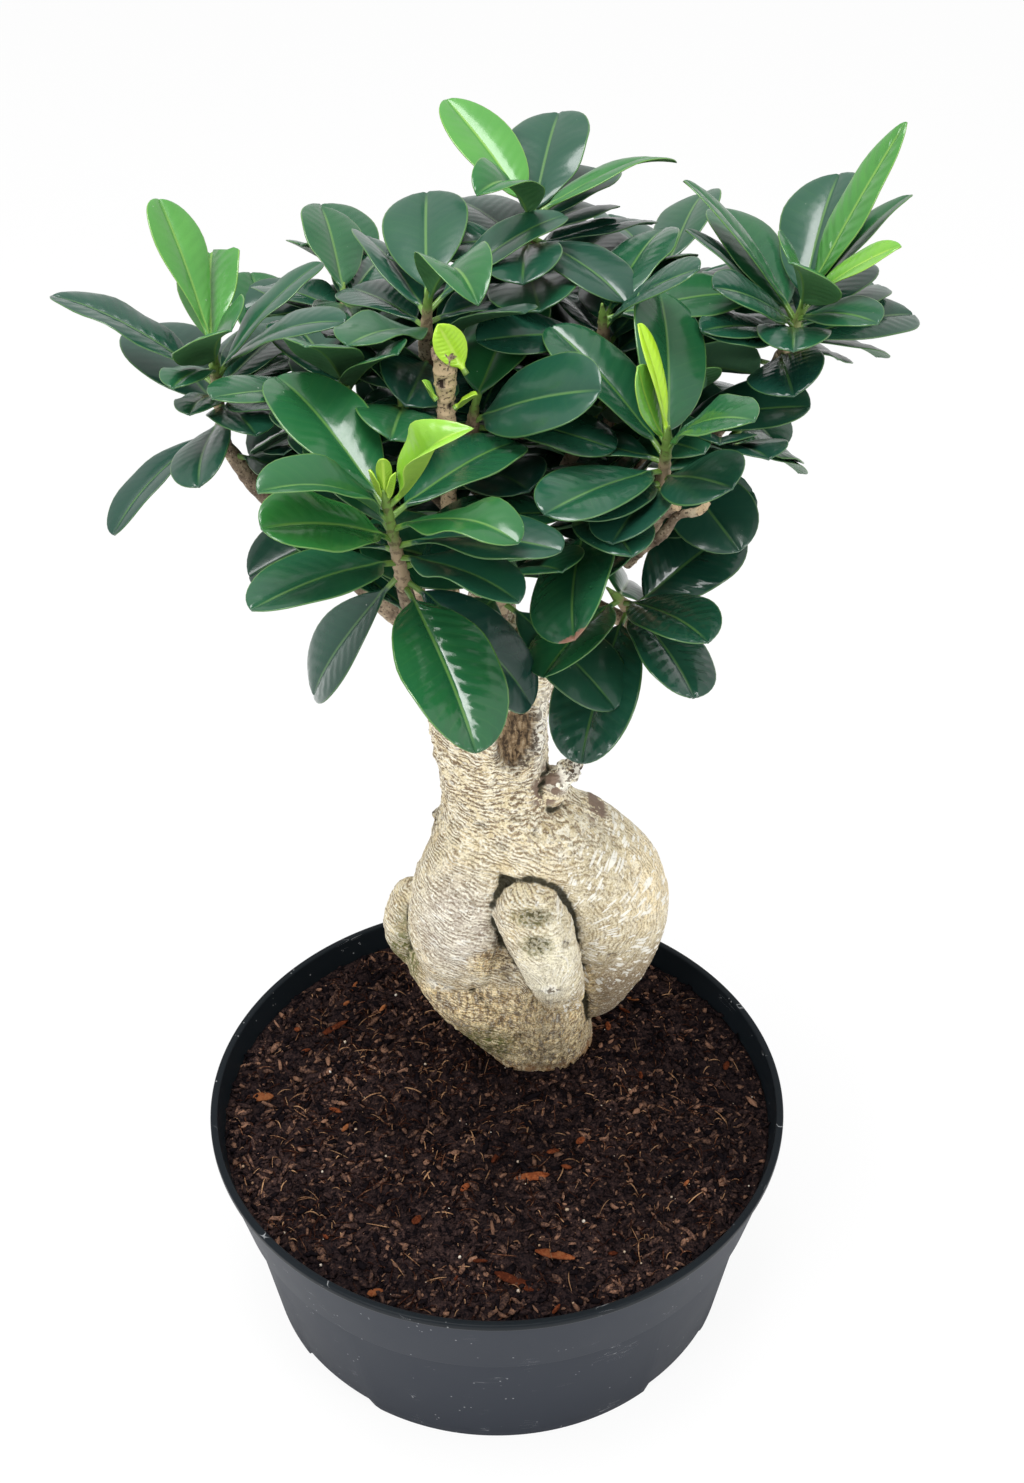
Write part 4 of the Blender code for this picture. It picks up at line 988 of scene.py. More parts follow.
def leaf_axes(pose):
    """The unit vectors ahead, aside and upward of a leaf, and how high its arch stands."""
    turn, lift, roll, bend = (math.radians(pose[k]) for k in (0, 1, 4, 5))
    ahead = np.array((math.cos(lift) * math.cos(turn), math.cos(lift) * math.sin(turn), math.sin(lift)))
    side = np.array((-math.sin(turn), math.cos(turn), 0.0))
    up = np.cross(ahead, side)
    side, up = side * math.cos(roll) + up * math.sin(roll), up * math.cos(roll) - side * math.sin(roll)
    return ahead, side, up, pose[2] * math.tan(bend / 4) / 2


def coarse_leaf(base, pose):
    """BVH trees of the whole coarse leaf and of its blade alone."""
    ahead, side, up, sag = leaf_axes(pose)
    length, width = pose[2], pose[3]
    base = np.array(base)
    stalk = STALK_HALF + CLEARANCE / 2
    stations = [(0.0, stalk, stalk, 0), (PETIOLE, stalk, stalk, 0)]
    stations += [(PETIOLE + (1 - PETIOLE) * share, width / 2 * wide + CLEARANCE,
                  BLADE_HALF + CLEARANCE / 2, COARSE_FOLD) for share, wide in COARSE]
    corners = []
    for u, half, thick, fold in stations:
        slope = ahead * length + up * (4 * sag * (1 - 2 * u))
        normal = np.cross(slope / np.linalg.norm(slope), side)
        middle = base + ahead * (length * u) + up * (4 * sag * u * (1 - u))
        wing, rise = side * (half * math.cos(fold)), normal * (half * math.sin(fold))
        corners += [middle - wing + rise, middle + normal * thick, middle + wing + rise,
                    middle - normal * thick]
    u = 1 + CLEARANCE / length
    corners.append(base + ahead * (length * u) + up * (4 * sag * u * (1 - u)))
    faces = [(4 * r + (k + 1) % 4, 4 * r + k, 4 * r + 4 + k, 4 * r + 4 + (k + 1) % 4)
             for r in range(3) for k in range(4)]
    faces += [(12 + (k + 1) % 4, 12 + k, 16) for k in range(4)]
    corners = [tuple(c) for c in corners]
    whole = BVHTree.FromPolygons(corners, [(0, 1, 2, 3)] + faces)
    return whole, BVHTree.FromPolygons(corners, [(4, 5, 6, 7)] + faces[4:])


def mesh_tree(points, faces):
    return BVHTree.FromPolygons([tuple(p) for p in points], [tuple(f) for f in faces])


# %% Fit every leaf in
# small changes of a leaf's turn, lift and roll, the smallest first
TRIES = sorted([(turn, lift, roll) for turn in range(-36, 37, 4) for lift in range(-24, 25, 4)
                for roll in range(-36, 37, 12)],
               key=lambda s: (s[0] / 8) ** 2 + (s[1] / 6) ** 2 + (s[2] / 16) ** 2)
STEM = 1.5                             # a green stem's radius, mm
LEAF_MIDDLE, LEAF_REACH = 0.55, 0.6    # a ball round a leaf: its place and radius, in leaf lengths
print("ways to shift a leaf:", len(TRIES))


def stem_line(shoot):
    """The foot, the tip and the direction of a shoot's stem."""
    foot, tip = np.array(shoot["foot"], float), np.array(shoot["tip"], float)
    return foot, tip, (tip - foot) / np.linalg.norm(tip - foot)


def stem_route(shoot, thick=1.0, steps=2):
    foot, tip, way = stem_line(shoot)
    foot = foot + way * 0.35
    route = [(*(foot + (tip - foot) * t), thick * STEM * (1.1 - 0.4 * t))
             for t in np.linspace(0, 1, steps + 1)]
    return route + [(*(tip + way * 6), 0.3)]


class Crowd:
    """Everything that a leaf may not run through."""

    def __init__(self, wood, stems):
        self.wood = wood
        self.stems = stems
        self.taken = []

    def room_for(self, owner, base, pose):
        """Only a leaf's blade is tested against its own stem and its own stem's other leaves."""
        whole, blade = coarse_leaf(base, pose)
        on_stem = owner in self.stems
        if on_stem and blade.overlap(self.stems[owner]):
            return None
        if any(whole.overlap(stem) for name, stem in self.stems.items() if name != owner):
            return None
        if any((whole if on_stem else blade).overlap(other) for other in self.wood):
            return None
        reach = pose[2] * LEAF_REACH
        middle = Vector(base) + Vector(leaf_axes(pose)[0]) * pose[2] * LEAF_MIDDLE
        for other, there, their_reach, their_whole, their_blade in self.taken:
            if (there - middle).length < their_reach + reach:
                mine, theirs = (blade, their_blade) if other == owner else (whole, their_whole)
                if mine.overlap(theirs):
                    return None
        return middle, reach, whole, blade

    def place(self, owner, base, leaf, tries=TRIES):
        """The first pose near the leaf's own that is free, or None: a crowded shoot drops it."""
        for turn, lift, roll in tries:
            pose = (leaf[0] + turn, leaf[1] + lift, leaf[2], leaf[3], leaf[4] + roll, leaf[5])
            found = self.room_for(owner, base, pose)
            if found:
                self.taken.append((owner, *found))
                return pose
        return None


# %% Place the leaves of the shoots
# the middle of the crown, and how much a distance from it counts along X, Y and Z
HEART, SEEN = np.array((0, 40, 345)), np.array((1.0, 1.0, 1.5))
# the leaves that shape the plant, by shoot and number
SHOWN = {"front_left": (0, 1, 2, 4, 8, 10, 11, 12, 13, 14), "low_right": (0, 1, 2), "centre": (0,),
         "mid_right": (4, 7, 8, 9, 10, 11), "left": (3, 8, 9, 12, 13, 14), "crown_left": (3, 4, 6),
         "top": (7, 8, 9, 10), "right": (4, 12, 15, 16, 17, 18, 19), "stub_side": (1, 3),
         "crown_right": (3, 4), "back_left": (6,), "stub": (3, 4)}


def showiest_first(entry):
    """Leaves that shape the plant choose first, then the others from the outside inward."""
    name, k, base, leaf = entry
    tip = base + leaf_axes(leaf)[0] * leaf[2]
    return k not in SHOWN.get(name, ()), name in HIDDEN_SHOOTS, -np.linalg.norm((tip - HEART) * SEEN)


shoots = {**SHOOTS, **spiral_shoots()}
wood = [mesh_tree(read_points(node.data) / MM, [face.vertices for face in node.data.polygons])
        for name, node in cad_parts.items() if name.startswith(("branch_", "twig_"))]
crowd = Crowd(wood, {name: mesh_tree(*tube(stem_route(shoot), 6)) for name, shoot in shoots.items()})
leaf_places = {name: [] for name in shoots}
waiting = []
for name, shoot in shoots.items():
    foot, tip, _ = stem_line(shoot)
    count = len(shoot["leaves"])
    for k, leaf in enumerate(shoot["leaves"]):
        waiting.append((name, k, foot + (tip - foot) * (k + 0.8) / (count + 0.3), leaf))
for name, k, base, leaf in sorted(waiting, key=showiest_first):
    pose = crowd.place(name, base, leaf)
    if pose:
        leaf_places[name].append((k, base, pose))
for found in leaf_places.values():
    found.sort(key=lambda entry: entry[0])
print("leaves placed:", sum(len(found) for found in leaf_places.values()))


# %% The lines of the branches and twigs
BRANCH_TIP, TWIG = 2.3, 2.4            # radius, mm


def along(route, share):
    """The point at this share of a route's length."""
    points = [np.array(p[:3], float) for p in route]
    legs = [np.linalg.norm(b - a) for a, b in zip(points, points[1:])]
    left = share * sum(legs)
    for a, b, leg in zip(points, points[1:], legs):
        if left <= leg:
            return a + (b - a) * left / leg
        left -= leg
    return points[-1]


def end_shoot(branch):
    """The shoot at the very end of a main branch."""
    return next(shoot for shoot in shoots.values() if shoot["on"] == branch and "at" not in shoot)


def branch_line(name):
    """A main branch, from its graft to the foot of the shoot at its end."""
    foot, _, way = stem_line(end_shoot(name))
    points = BRANCHES[name] + [(*(foot - way * 6), BRANCH_TIP)]
    return [tuple(p) for p in smooth_route(points, 8)] + [(*foot, BRANCH_TIP)]


def twig_line(shoot, steps=24):
    """A twig that leaves its branch outward and then bends up into its shoot."""
    start = along(BRANCHES[shoot["on"]], shoot["at"])
    foot, _, way = stem_line(shoot)
    bend_end = foot - way * 2.5
    reach = np.linalg.norm(bend_end - start)
    leave = start + (bend_end - start) * 0.35 + (0, 0, -0.05 * reach)
    arrive = bend_end - way * 0.38 * reach
    route = []
    for t in np.linspace(0, 1, steps + 1):
        s = 1 - t
        p = s ** 3 * start + 3 * s * s * t * leave + 3 * s * t * t * arrive + t ** 3 * bend_end
        route.append((*p, TWIG * (1.25 - 0.35 * t)))
    return route + [(*foot, TWIG * 0.9), (*(foot + way), TWIG * 0.8)]


SIDE_SHOOTS = {name: shoot for name, shoot in shoots.items() if "at" in shoot}
print("side twigs:", len(SIDE_SHOOTS))


# %% [markdown]
# The branches themselves carry leaves too. They are what closes the crown, so that no light shows
# through its middle. They follow the branches and twigs in a spiral, they stay inside the crown's
# dome, and wherever one finds no free place it's left out.
# %% Leaves along the old wood
INNER_GAP = 3.2                        # mm along the wood from leaf to leaf
INNER_LOWEST = 334.0                   # mm
INNER_MOST = 110
DOME, DOME_REACH = np.array((0, 14, 392)), np.array((84, 76, 54))


def under_dome(point):
    """Whether a point lies inside the dome that the leafy shoots form."""
    return np.linalg.norm((np.array(point) - DOME) / DOME_REACH) < 1


def inner_leaves():
    pick = random.Random(29)
    wanted = []
    for line in [branch_line(name) for name in BRANCHES] + [twig_line(s) for s in SIDE_SHOOTS.values()]:
        turn = pick.uniform(0, 360)
        length = sum(math.dist(a[:3], b[:3]) for a, b in zip(line, line[1:]))
        count = int(length / INNER_GAP)
        for k in range(count):
            share = 0.30 + 0.68 * (k + 0.5) / count
            base = along(line, share)
            turn = (turn + SPIRAL) % 360
            leaf = (turn, pick.uniform(-8, 38), pick.uniform(40, 50), pick.uniform(24, 29), 0,
                    pick.uniform(12, 28))
            if base[2] > INNER_LOWEST and under_dome(base + leaf_axes(leaf)[0] * leaf[2]):
                wanted.append((base, leaf))
    pick.shuffle(wanted)
    found = []
    for base, leaf in wanted:
        if len(found) == INNER_MOST:
            break
        pose = crowd.place("old wood", base, leaf, TRIES[::8])
        if pose:
            found.append((base, pose))
    print("leaves on the old wood:", len(found), "of", len(wanted))
    return found


wood_leaves = inner_leaves()


# %% [markdown]
# ## Branches, twigs and stems
# Young ficus wood is grey-brown and rough, ringed with the scars of fallen leaves, and swollen where
# a side twig leaves. A rod along a smooth curve has the right line, and its radius is then swelled
# by rings, knots and noise.
# %% Wood with rings and knots
def bark_swell(seed, ring_gap=5.5, depth=0.10):
    """How a woody rod swells: rings of leaf scars, knots and fine roughness."""
    def swell(centre, turns, share):
        ring = abs(((centre[2] + 0.4 * centre[0] + seed) / ring_gap) % 1 - 0.5) * 2
        knot = noise.noise(Vector(centre / 9.0) + Vector((seed, 0, 0)))
        rough = [noise.noise(Vector((math.cos(a) * 1.7, math.sin(a) * 1.7, centre[2] / 1.9 + seed)))
                 for a in turns]
        return 1 + depth * step(ring, 0.72, 1.0) + 0.10 * knot + 0.09 * np.array(rough)
    return swell


def finer(route, per_mm=1.1):
    """The same route with a point about every mm."""
    route = np.array(route, float)
    gone = np.concatenate([[0], np.cumsum(np.linalg.norm(np.diff(route[:, :3], axis=0), axis=1))])
    wanted = np.linspace(0, gone[-1], max(4, int(gone[-1] * per_mm)))
    return np.stack([np.interp(wanted, gone, route[:, k]) for k in range(4)], 1)


def make_wood(finish):
    for number, name in enumerate(BRANCHES):
        route = branch_line(name)
        _, _, way = stem_line(end_shoot(name))
        route.append((*(np.array(route[-1][:3]) + way), BRANCH_TIP * 0.9))
        pile = Pile()
        pile.add(*tube(finer(route), 20, bark_swell(10 * number, 7.5, 0.12)), tone=0.30)
        pile.piece(f"wood_{name}", finish, "twig_bark", f"branch_{name}")
    pile = Pile()
    for number, (name, shoot) in enumerate(shoots.items()):
        if name in SIDE_SHOOTS:
            pile.add(*tube(finer(twig_line(shoot)), 14, bark_swell(3 * number)), tone=0.6)
    pile.piece("side_twigs", finish, "twig_bark", *(f"twig_{name}" for name in SIDE_SHOOTS))


# height and sideways place of the holes in the cut twig, which are darkened with painted shade
KNOT_HOLES = [(415.5, -1.2), (408.0, 1.0)]


def make_cut_twig(finish):
    route = twig_line(CUT_TWIG)[:-1]
    _, tip, _ = stem_line(CUT_TWIG)
    route += [(*(tip - (0, 0, 0.6)), 2.9), (*tip, 2.7)]
    route = [(x, y, z, r + 0.5 * step(z, 385, 400)) for x, y, z, r in route]
    points, faces = tube(finer(route, 1.6), 24, bark_swell(5, 4.5, 0.16))
    frayed = wobble(points * (1, 1, 0.2), 1.6, 2, 9) * step(points[:, 2], tip[2] - 3, tip[2] - 0.5)
    points[:, 2] += 3.4 * frayed
    tone = np.full(len(points), 1.15)
    for height, side in KNOT_HOLES:
        reach = np.linalg.norm((points - (tip[0] + side, tip[1] - 3, height)) / (1.1, 3, 1.5), axis=1)
        # painted shade: a hole's tone lies below 0, which colours it near black
        tone = np.where(reach + 0.5 * wobble(points, 1.2, 2, 3) < 1.0, -0.2, tone)
        points[:, 1] += 1.2 * (1 - step(reach, 0.5, 1.1))
    tone = np.where(points[:, 2] > tip[2] - 0.8 + 0.8 * frayed, 0.2, tone)
    pile = Pile()
    pile.add(points, faces, tone=tone)
    pile.piece("cut_twig", finish, "twig_bark", "twig_cut")


# %% [markdown]
# Two old wounds stand out on the right: a short stub with a pale ring, and a thin dead twig.
# %% Dead ends
DEAD_ENDS = [[(47, -38, 371, 2.6), (51, -40, 376, 2.8), (54.5, -41.5, 379, 2.5)],
             [(41, -36, 355, 1.7), (45, -40, 362, 1.5), (51, -41, 368, 1.6), (55, -41, 374, 1.2),
              (61, -42, 376, 1.3), (64, -42, 379, 0.7)]]
DEAD_SIDES = 12


def make_dead_ends(finish):
    pile = Pile()
    for number, points in enumerate(DEAD_ENDS):
        route = finer([tuple(p) for p in smooth_route(points, 6)], 1.6)
        share = np.repeat(np.linspace(0, 1, len(route)), DEAD_SIDES)
        tone = np.where(share > 0.86, 1.0, 0.25)            # the broken end is pale
        pile.add(*tube(route, DEAD_SIDES, bark_swell(20 + number, 3.5, 0.18)), tone=tone)
    pile.piece("dead_ends", finish, "twig_bark")


# %% [markdown]
# The twigs' bark is patchy grey-brown with pale pores. Tone tells how fresh a place is: the pale
# wood of a cut lies above 1, and the painted shade of a hole lies below 0.
# %% Twig bark
TWIG_SHADES = [(0.32, (0.100, 0.070, 0.046, 1)), (0.52, (0.270, 0.200, 0.135, 1)),
               (0.72, (0.520, 0.430, 0.300, 1))]
# the second colour is painted shade for the holes in the cut twig
FRESH_WOOD, HOLE_SHADE, TWIG_PORE = (0.62, 0.46, 0.28, 1), (0.030, 0.018, 0.012, 1), (0.44, 0.37, 0.27, 1)
TWIG_GRAIN = (0.035, 0.022, 0.014, 1)


def twig_bark():
    finish = Finish("twig bark", Specular_IOR_Level=0.3)
    at = finish.place()
    tone = finish.note("tone")
    grain = finish.cloud(0.9, 3, at)
    pores = finish.cells(1.5, at).rise(0.24, 0.12)
    colour = finish.coats(
        finish.ramp(finish.cloud(5, 3, at), *TWIG_SHADES),
        ((tone - 0.45).rise(0.0, 0.9), FRESH_WOOD),
        # painted shade in the holes
        (tone.rise(0.1, -0.1), HOLE_SHADE),
        (pores * 0.6, TWIG_PORE),
        (grain.rise(0.54, 0.64) * 0.8, TWIG_GRAIN))
    finish.use(Base_Color=colour, Roughness=0.72 + 0.15 * grain,
               Normal=finish.bump(grain * 0.7 + pores * 0.3, 0.35))
    return finish


bark = twig_bark()
make_wood(bark)
make_cut_twig(bark)
make_dead_ends(bark)


# %% [markdown]
# ## A leaf
# A ficus leaf is a thick, leathery oval on a short stalk. It is folded a little along its midrib,
# each half arches over, the margin is pale and the tip is blunt. The leaf is skinned from rings of
# points: the stalk's rings are round, and they flatten into the blade, so there is no seam.
# %% One leaf's skin
ACROSS = np.array([-1, -0.965, -0.84, -0.62, -0.38, -0.17, -0.06, 0,
                   0.06, 0.17, 0.38, 0.62, 0.84, 0.965, 1])
ALONG = np.array([0, 0.02, 0.05, 0.09, 0.14, 0.20, 0.27, 0.34, 0.41, 0.48, 0.55, 0.62, 0.69, 0.76,
                  0.82, 0.87, 0.91, 0.945, 0.972, 0.99, 0.998])
STALK_ROWS = np.array([0, 0.05, 0.10])
FEWER_COLUMNS, FEWER_LENGTHS = ACROSS[[0, 1, 3, 5, 7, 9, 11, 13, 14]], ALONG[::2]
BLADE_THICK, RIB_HALF = 0.62, 0.9      # mm
RIB_GROOVE, RIB_KEEL = 0.34, 0.75      # how deep the midrib lies above and how far it stands below, mm
# Age and gloss go up to 1. The blade is widest at belly and blunt rounds its ends, fold and cup bend
# it across, waves is the count of its ripples, and wave, quilt and tip are in mm.
LOOK = dict(age=0.25, gloss=0.5, belly=0.58, blunt=0.5, fold=0.33, cup=-0.20, wave=0.5, waves=1.6,
            tip=0.0, twist=0.0, dry=0.0, torn=0.0, quilt=0.29)


def leaf_outline(t, belly, blunt):
    """Half width along the blade, at most 1: it is widest at belly and small blunt ends it round."""
    taper = blunt * belly / (1 - belly)
    return t ** taper * (1 - t) ** blunt / (belly ** taper * (1 - belly) ** blunt)


def leaf_skin(base, pose, look, chance, columns=ACROSS, lengths=ALONG):
    """Points, faces and notes of one leaf; chance is a random source."""
    ahead, side, up, sag = leaf_axes(pose)
    length, width = pose[2], pose[3]
    count = len(columns)
    # v runs over the upper side from -1 to 1 and back along the underside, t along the blade alone
    v = np.concatenate([columns, columns[::-1]])[None, :]
    upper = np.concatenate([np.ones(count), -np.ones(count)])[None, :]
    rows = np.concatenate([STALK_ROWS, PETIOLE + (1 - PETIOLE) * lengths])[:, None]
    torn_off = look["torn"] * (0.16 - 0.13 * v + 0.02 * np.sin(9 * v) + 0.012 * np.sin(23 * v))
    t = np.clip((rows - PETIOLE) / (1 - PETIOLE), 0, 1) * (1 - torn_off)
    u = np.where(rows < PETIOLE, rows, PETIOLE + (1 - PETIOLE) * t)
    stalk = 0.95 - 0.15 * np.clip(rows / PETIOLE, 0, 1)
    h = np.maximum(leaf_outline(t, look["belly"], look["blunt"]) * width / 2, stalk * (1 - t) ** 2)
    phase, phase_b, lean = chance.uniform(0, 6.3), chance.uniform(0, 6.3), chance.uniform(-0.2, 0.2)
    mm = h * v
    edge = abs(v)
    # the blade's relief: a wavy margin, pillows between the side veins, fold, cup and midrib
    ripple = look["wave"] * np.sin(math.pi * np.clip(t * 1.15, 0, 1)) * edge ** 1.6 * np.sin(
        look["waves"] * math.tau * t + phase + np.where(v > 0, phase_b, 0))
    quilt = look["quilt"] * np.sin(math.tau * (10 * t - 1.6 * edge)) * edge * (1 - edge ** 3)
    sheet = h * (look["fold"] * edge + look["cup"] * v * v) + ripple + quilt
    rib = np.exp(-(mm / RIB_HALF) ** 2)
    thick = BLADE_THICK / 2 * (1 - 0.55 * edge ** 4)
    sheet = sheet + np.where(upper > 0, thick - RIB_GROOVE * rib, -thick - (RIB_KEEL - 0.5 * t) * rib)
    flat = step(t, 0.0, 0.13)              # the round stalk flattens into the blade
    rise = (1 - flat) * upper * stalk * np.sqrt(np.clip(1 - v * v, 0, 1)) + flat * sheet
    # the rows stand square to an arched midrib and turn about it
    slope = ahead * length + up * (4 * sag * (1 - 2 * u))[..., None]
    slope = slope / np.linalg.norm(slope, axis=2, keepdims=True)
    spin = (look["twist"] * (t - 0.3) + lean * (t - 0.5))[..., None]
    across = side * np.cos(spin) + np.cross(slope, side) * np.sin(spin)
    drop = 4 * sag * u * (1 - u) - look["tip"] * np.clip((t - 0.6) / 0.4, 0, 1) ** 2
    points = np.array(base) + ahead * (length * u)[..., None] + up * drop[..., None]
    points = points + across * mm[..., None] + np.cross(slope, across) * rise[..., None]
    along = np.where(rows < PETIOLE, rows / PETIOLE - 1, t)
    leaf = np.stack(np.broadcast_arrays(along, v, upper), 2)
    faces = skin(len(rows), 2 * count)[:, ::-1]
    return points.reshape(-1, 3), faces, leaf.reshape(-1, 3), mm.ravel()


print("points of one leaf:", 2 * len(ACROSS) * (len(STALK_ROWS) + len(ALONG)))


# %% [markdown]
# The upper side is a deep blue-green with a wax gloss, the underside is duller and greyer. Young
# leaves are light, the newest ones are yellow-green. The midrib and the thin margin are pale, and
# side veins show faintly as lines and as a quilted gloss.
# %% Leaf finish
# Shades by age, from 0 for an old leaf to 1 for one that has just opened
FACE = [(0.0, (0.006, 0.036, 0.026, 1)), (0.22, (0.0095, 0.061, 0.033, 1)),
        (0.45, (0.015, 0.115, 0.024, 1)), (0.70, (0.085, 0.290, 0.045, 1)),
        (0.95, (0.380, 0.640, 0.025, 1))]
UNDERSIDE = [(0.0, (0.040, 0.105, 0.065, 1)), (0.45, (0.062, 0.175, 0.062, 1)),
             (0.95, (0.300, 0.480, 0.050, 1))]
PALE_LINES = [(0.0, (0.055, 0.140, 0.045, 1)), (0.5, (0.160, 0.320, 0.060, 1)),
              (0.95, (0.450, 0.640, 0.080, 1))]
STALK_GREEN, STEM_GREEN = (0.14, 0.26, 0.045, 1), (0.150, 0.260, 0.050, 1)
STEM_BROWN, STEM_GRAIN = (0.33, 0.245, 0.150, 1), (0.09, 0.055, 0.030, 1)
LIME, DRY_BROWN = (0.42, 0.45, 0.40, 1), (0.30, 0.12, 0.085, 1)
SIDE_VEINS = 11                        # along one half of a blade


def leaf_finish():
    finish = Finish("ficus leaf", Specular_IOR_Level=0.40, Coat_Roughness=0.10)
    along, across, upper = (finish.note("leaf", part) for part in "XYZ")
    age, chance, gloss = (finish.note("tone", part) for part in "XYZ")
    mm, dry = finish.note("across_mm"), finish.note("dry")
    top, side, at = upper.rise(-0.2, 0.2), abs(across), finish.place()
    patch, fine = finish.cloud(16, 2, at), finish.cloud(1.2, 2, at)
    rib = abs(mm).rise(0.62, 0.20) * along.rise(1.02, 0.80)
    panel = (along * SIDE_VEINS - side * 1.7 + chance).to_and_fro(0.5)
    pillow = panel.rise(0.0, 0.5) * side.rise(0.0, 0.30) * side.rise(1.0, 0.70)
    veins = panel.rise(0.09, 0.02) * side.rise(0.02, 0.15) * side.rise(0.98, 0.8)
    margin = side.rise(0.955, 0.98) * along.rise(-0.1, 0.05)
    specks = finish.cells(3.6, at).rise(0.075, 0.045) * finish.cloud(5, 1, at).rise(0.60, 0.66) * top
    brown_tip = dry.rise(0.2, 0.8) * (along + (fine - 0.5) * 0.04 + 0.02 * dry).rise(0.975, 0.99)
    stem = along.rise(-1.5, -1.6)      # a stem's points are noted as far behind any leaf
    rind = finish.blend((along + patch * 0.5).rise(-2.35, -2.05), STEM_BROWN, STEM_GREEN)
    rind = finish.blend(finish.cloud(1.6, 3, at).rise(0.52, 0.62) * 0.6, rind, STEM_GRAIN)
    face = finish.ramp(age + (chance - 0.5) * 0.12 + (patch - 0.5) * 0.12, *FACE)
    line = finish.ramp(age, *PALE_LINES)
    colour = finish.coats(
        finish.blend(top, finish.ramp(age, *UNDERSIDE), face),
        (veins * (0.03 + 0.15 * (1 - top)), line),
        (finish.most(margin * 0.55, rib * (0.75 - 0.15 * top)), line),
        (along.rise(0.0, -0.25) * 0.9, STALK_GREEN),
        (stem, rind),
        (specks * 0.5, LIME),
        (brown_tip, DRY_BROWN))
    rough = 0.36 + 0.25 * stem - 0.24 * gloss + 0.08 * patch + 0.18 * (1 - top) + 0.25 * brown_tip
    relief = finish.cloud(7, 2, at) * (0.3 + 2.2 * gloss) + fine * 0.12 + pillow * gloss * gloss * 1.6
    finish.use(Base_Color=colour, Roughness=rough,
               Coat_Weight=top * (1 - stem) * (0.15 + 0.35 * gloss),
               Normal=finish.bump(relief, 0.30, 0.5))
    return finish


leaf_green = leaf_finish()


# %% [markdown]
# Most leaves follow from their place on the stem: the lowest are the oldest and darkest. Some have
# a character of their own, and these are noted by shoot and number.
# %% Leaves with a character of their own
STEM_SIDES = 14
LIGHT = dict(age=0.58, gloss=0.45)
NEW = dict(age=0.90, gloss=0.5, wave=0.2)
LOOKS = {
    "front_left": {0: dict(age=0.34, gloss=1.0, belly=0.55, blunt=0.54, wave=0.7, waves=2.2,
                           quilt=0.40),
                   1: dict(gloss=0.5, age=0.05), 2: dict(gloss=0.7, age=0.08), 4: dict(age=0.28),
                   5: dict(wave=1.8, waves=1.4), 7: dict(wave=1.6, waves=1.2), 8: dict(age=0.44, wave=1.3),
                   10: dict(age=0.38, wave=2.2, waves=1.1, tip=3), 11: dict(age=0.34, fold=0.6),
                   12: dict(age=0.30), 13: dict(age=0.30, belly=0.56),
                   14: dict(NEW, age=0.80, tip=9, belly=0.62, fold=1.1, wave=1.2, waves=1.3)},
    "low_right": {0: dict(gloss=1.0, age=0.12, wave=1.0, quilt=0.55),
                  1: dict(gloss=1.0, age=0.16, belly=0.55, quilt=0.5),
                  2: dict(gloss=1.0, age=0.12, wave=0.9, quilt=0.6), 3: dict(gloss=0.9, quilt=0.4)},
    "centre": {0: dict(age=0.3, dry=0.6)},
    "left": {8: dict(age=0.15, gloss=0.8), 10: dict(age=0.2), 12: dict(age=0.4, fold=0.6),
             13: dict(LIGHT, torn=1.0, gloss=0.8), 14: dict(LIGHT, age=0.55, belly=0.68)},
    "crown_left": {0: dict(wave=2.6, waves=1.1, age=0.3), 5: dict(age=0.42, tip=6, fold=0.7),
                   6: dict(age=0.28, gloss=0.3, belly=0.62)},
    "top": {7: dict(age=0.22, wave=1.2, waves=2.0), 8: dict(age=0.45, tip=5, fold=0.6),
            9: dict(age=0.52, belly=0.5, blunt=0.75, tip=4), 10: dict(LIGHT, belly=0.52, blunt=0.6)},
    "right": {13: dict(age=0.38), 16: dict(age=0.28), 17: dict(age=0.74, blunt=0.75), 4: dict(age=0.16),
              18: dict(age=0.42, fold=0.5), 19: dict(LIGHT, gloss=0.9, belly=0.52, blunt=0.7)},
    "mid_right": {7: dict(age=0.26), 8: dict(age=0.30, gloss=0.6), 9: dict(age=0.36, wave=1.2),
                  10: dict(NEW, age=0.76, belly=0.6), 11: NEW},
}


def chance_shape(pick):
    """What makes one plain leaf differ from the next."""
    return dict(blunt=pick.uniform(0.44, 0.56), belly=pick.uniform(0.55, 0.65),
                twist=pick.uniform(-0.15, 0.15), tip=pick.uniform(-0.5, 1.5),
                cup=pick.uniform(-0.26, -0.14))


def add_leaf(pile, base, pose, look, pick, *grid):
    points, faces, leaf, mm = leaf_skin(base, pose, look, pick, *grid)
    pile.add(points, faces, leaf=leaf, tone=(look["age"], pick.random(), look["gloss"]),
             across_mm=mm, dry=look["dry"])


def grow_shoots():
    pick = random.Random(5)
    for name, shoot in shoots.items():
        pile = Pile()
        count = len(shoot["leaves"])
        for k, base, pose in leaf_places[name]:
            look = dict(LOOK, age=0.08 + 0.26 * k / count + pick.uniform(-0.03, 0.05),
                        gloss=0.25 + pick.uniform(0, 0.45), wave=pick.uniform(0.1, 0.9),
                        waves=pick.uniform(1.0, 2.2), **chance_shape(pick))
            look.update(LOOKS.get(name, {}).get(k, {}))
            add_leaf(pile, base, pose, look, pick)
        route = finer(stem_route(shoot, 1.3, 8)[:-1] + [stem_route(shoot)[-1]], 1.4)
        points, faces = tube(route, STEM_SIDES, bark_swell(count, 3.4, 0.16))
        behind = np.repeat(np.linspace(0, 1, len(route)), STEM_SIDES) - 3
        pile.add(points, faces, leaf=np.stack([behind, 0 * behind, 0 * behind], 1),
                 tone=(0.5, 0.5, 0.3), across_mm=9.0, dry=0.0)
        pile.piece(f"leaves_{name}", leaf_green, "leaf", f"shoot_{name}")


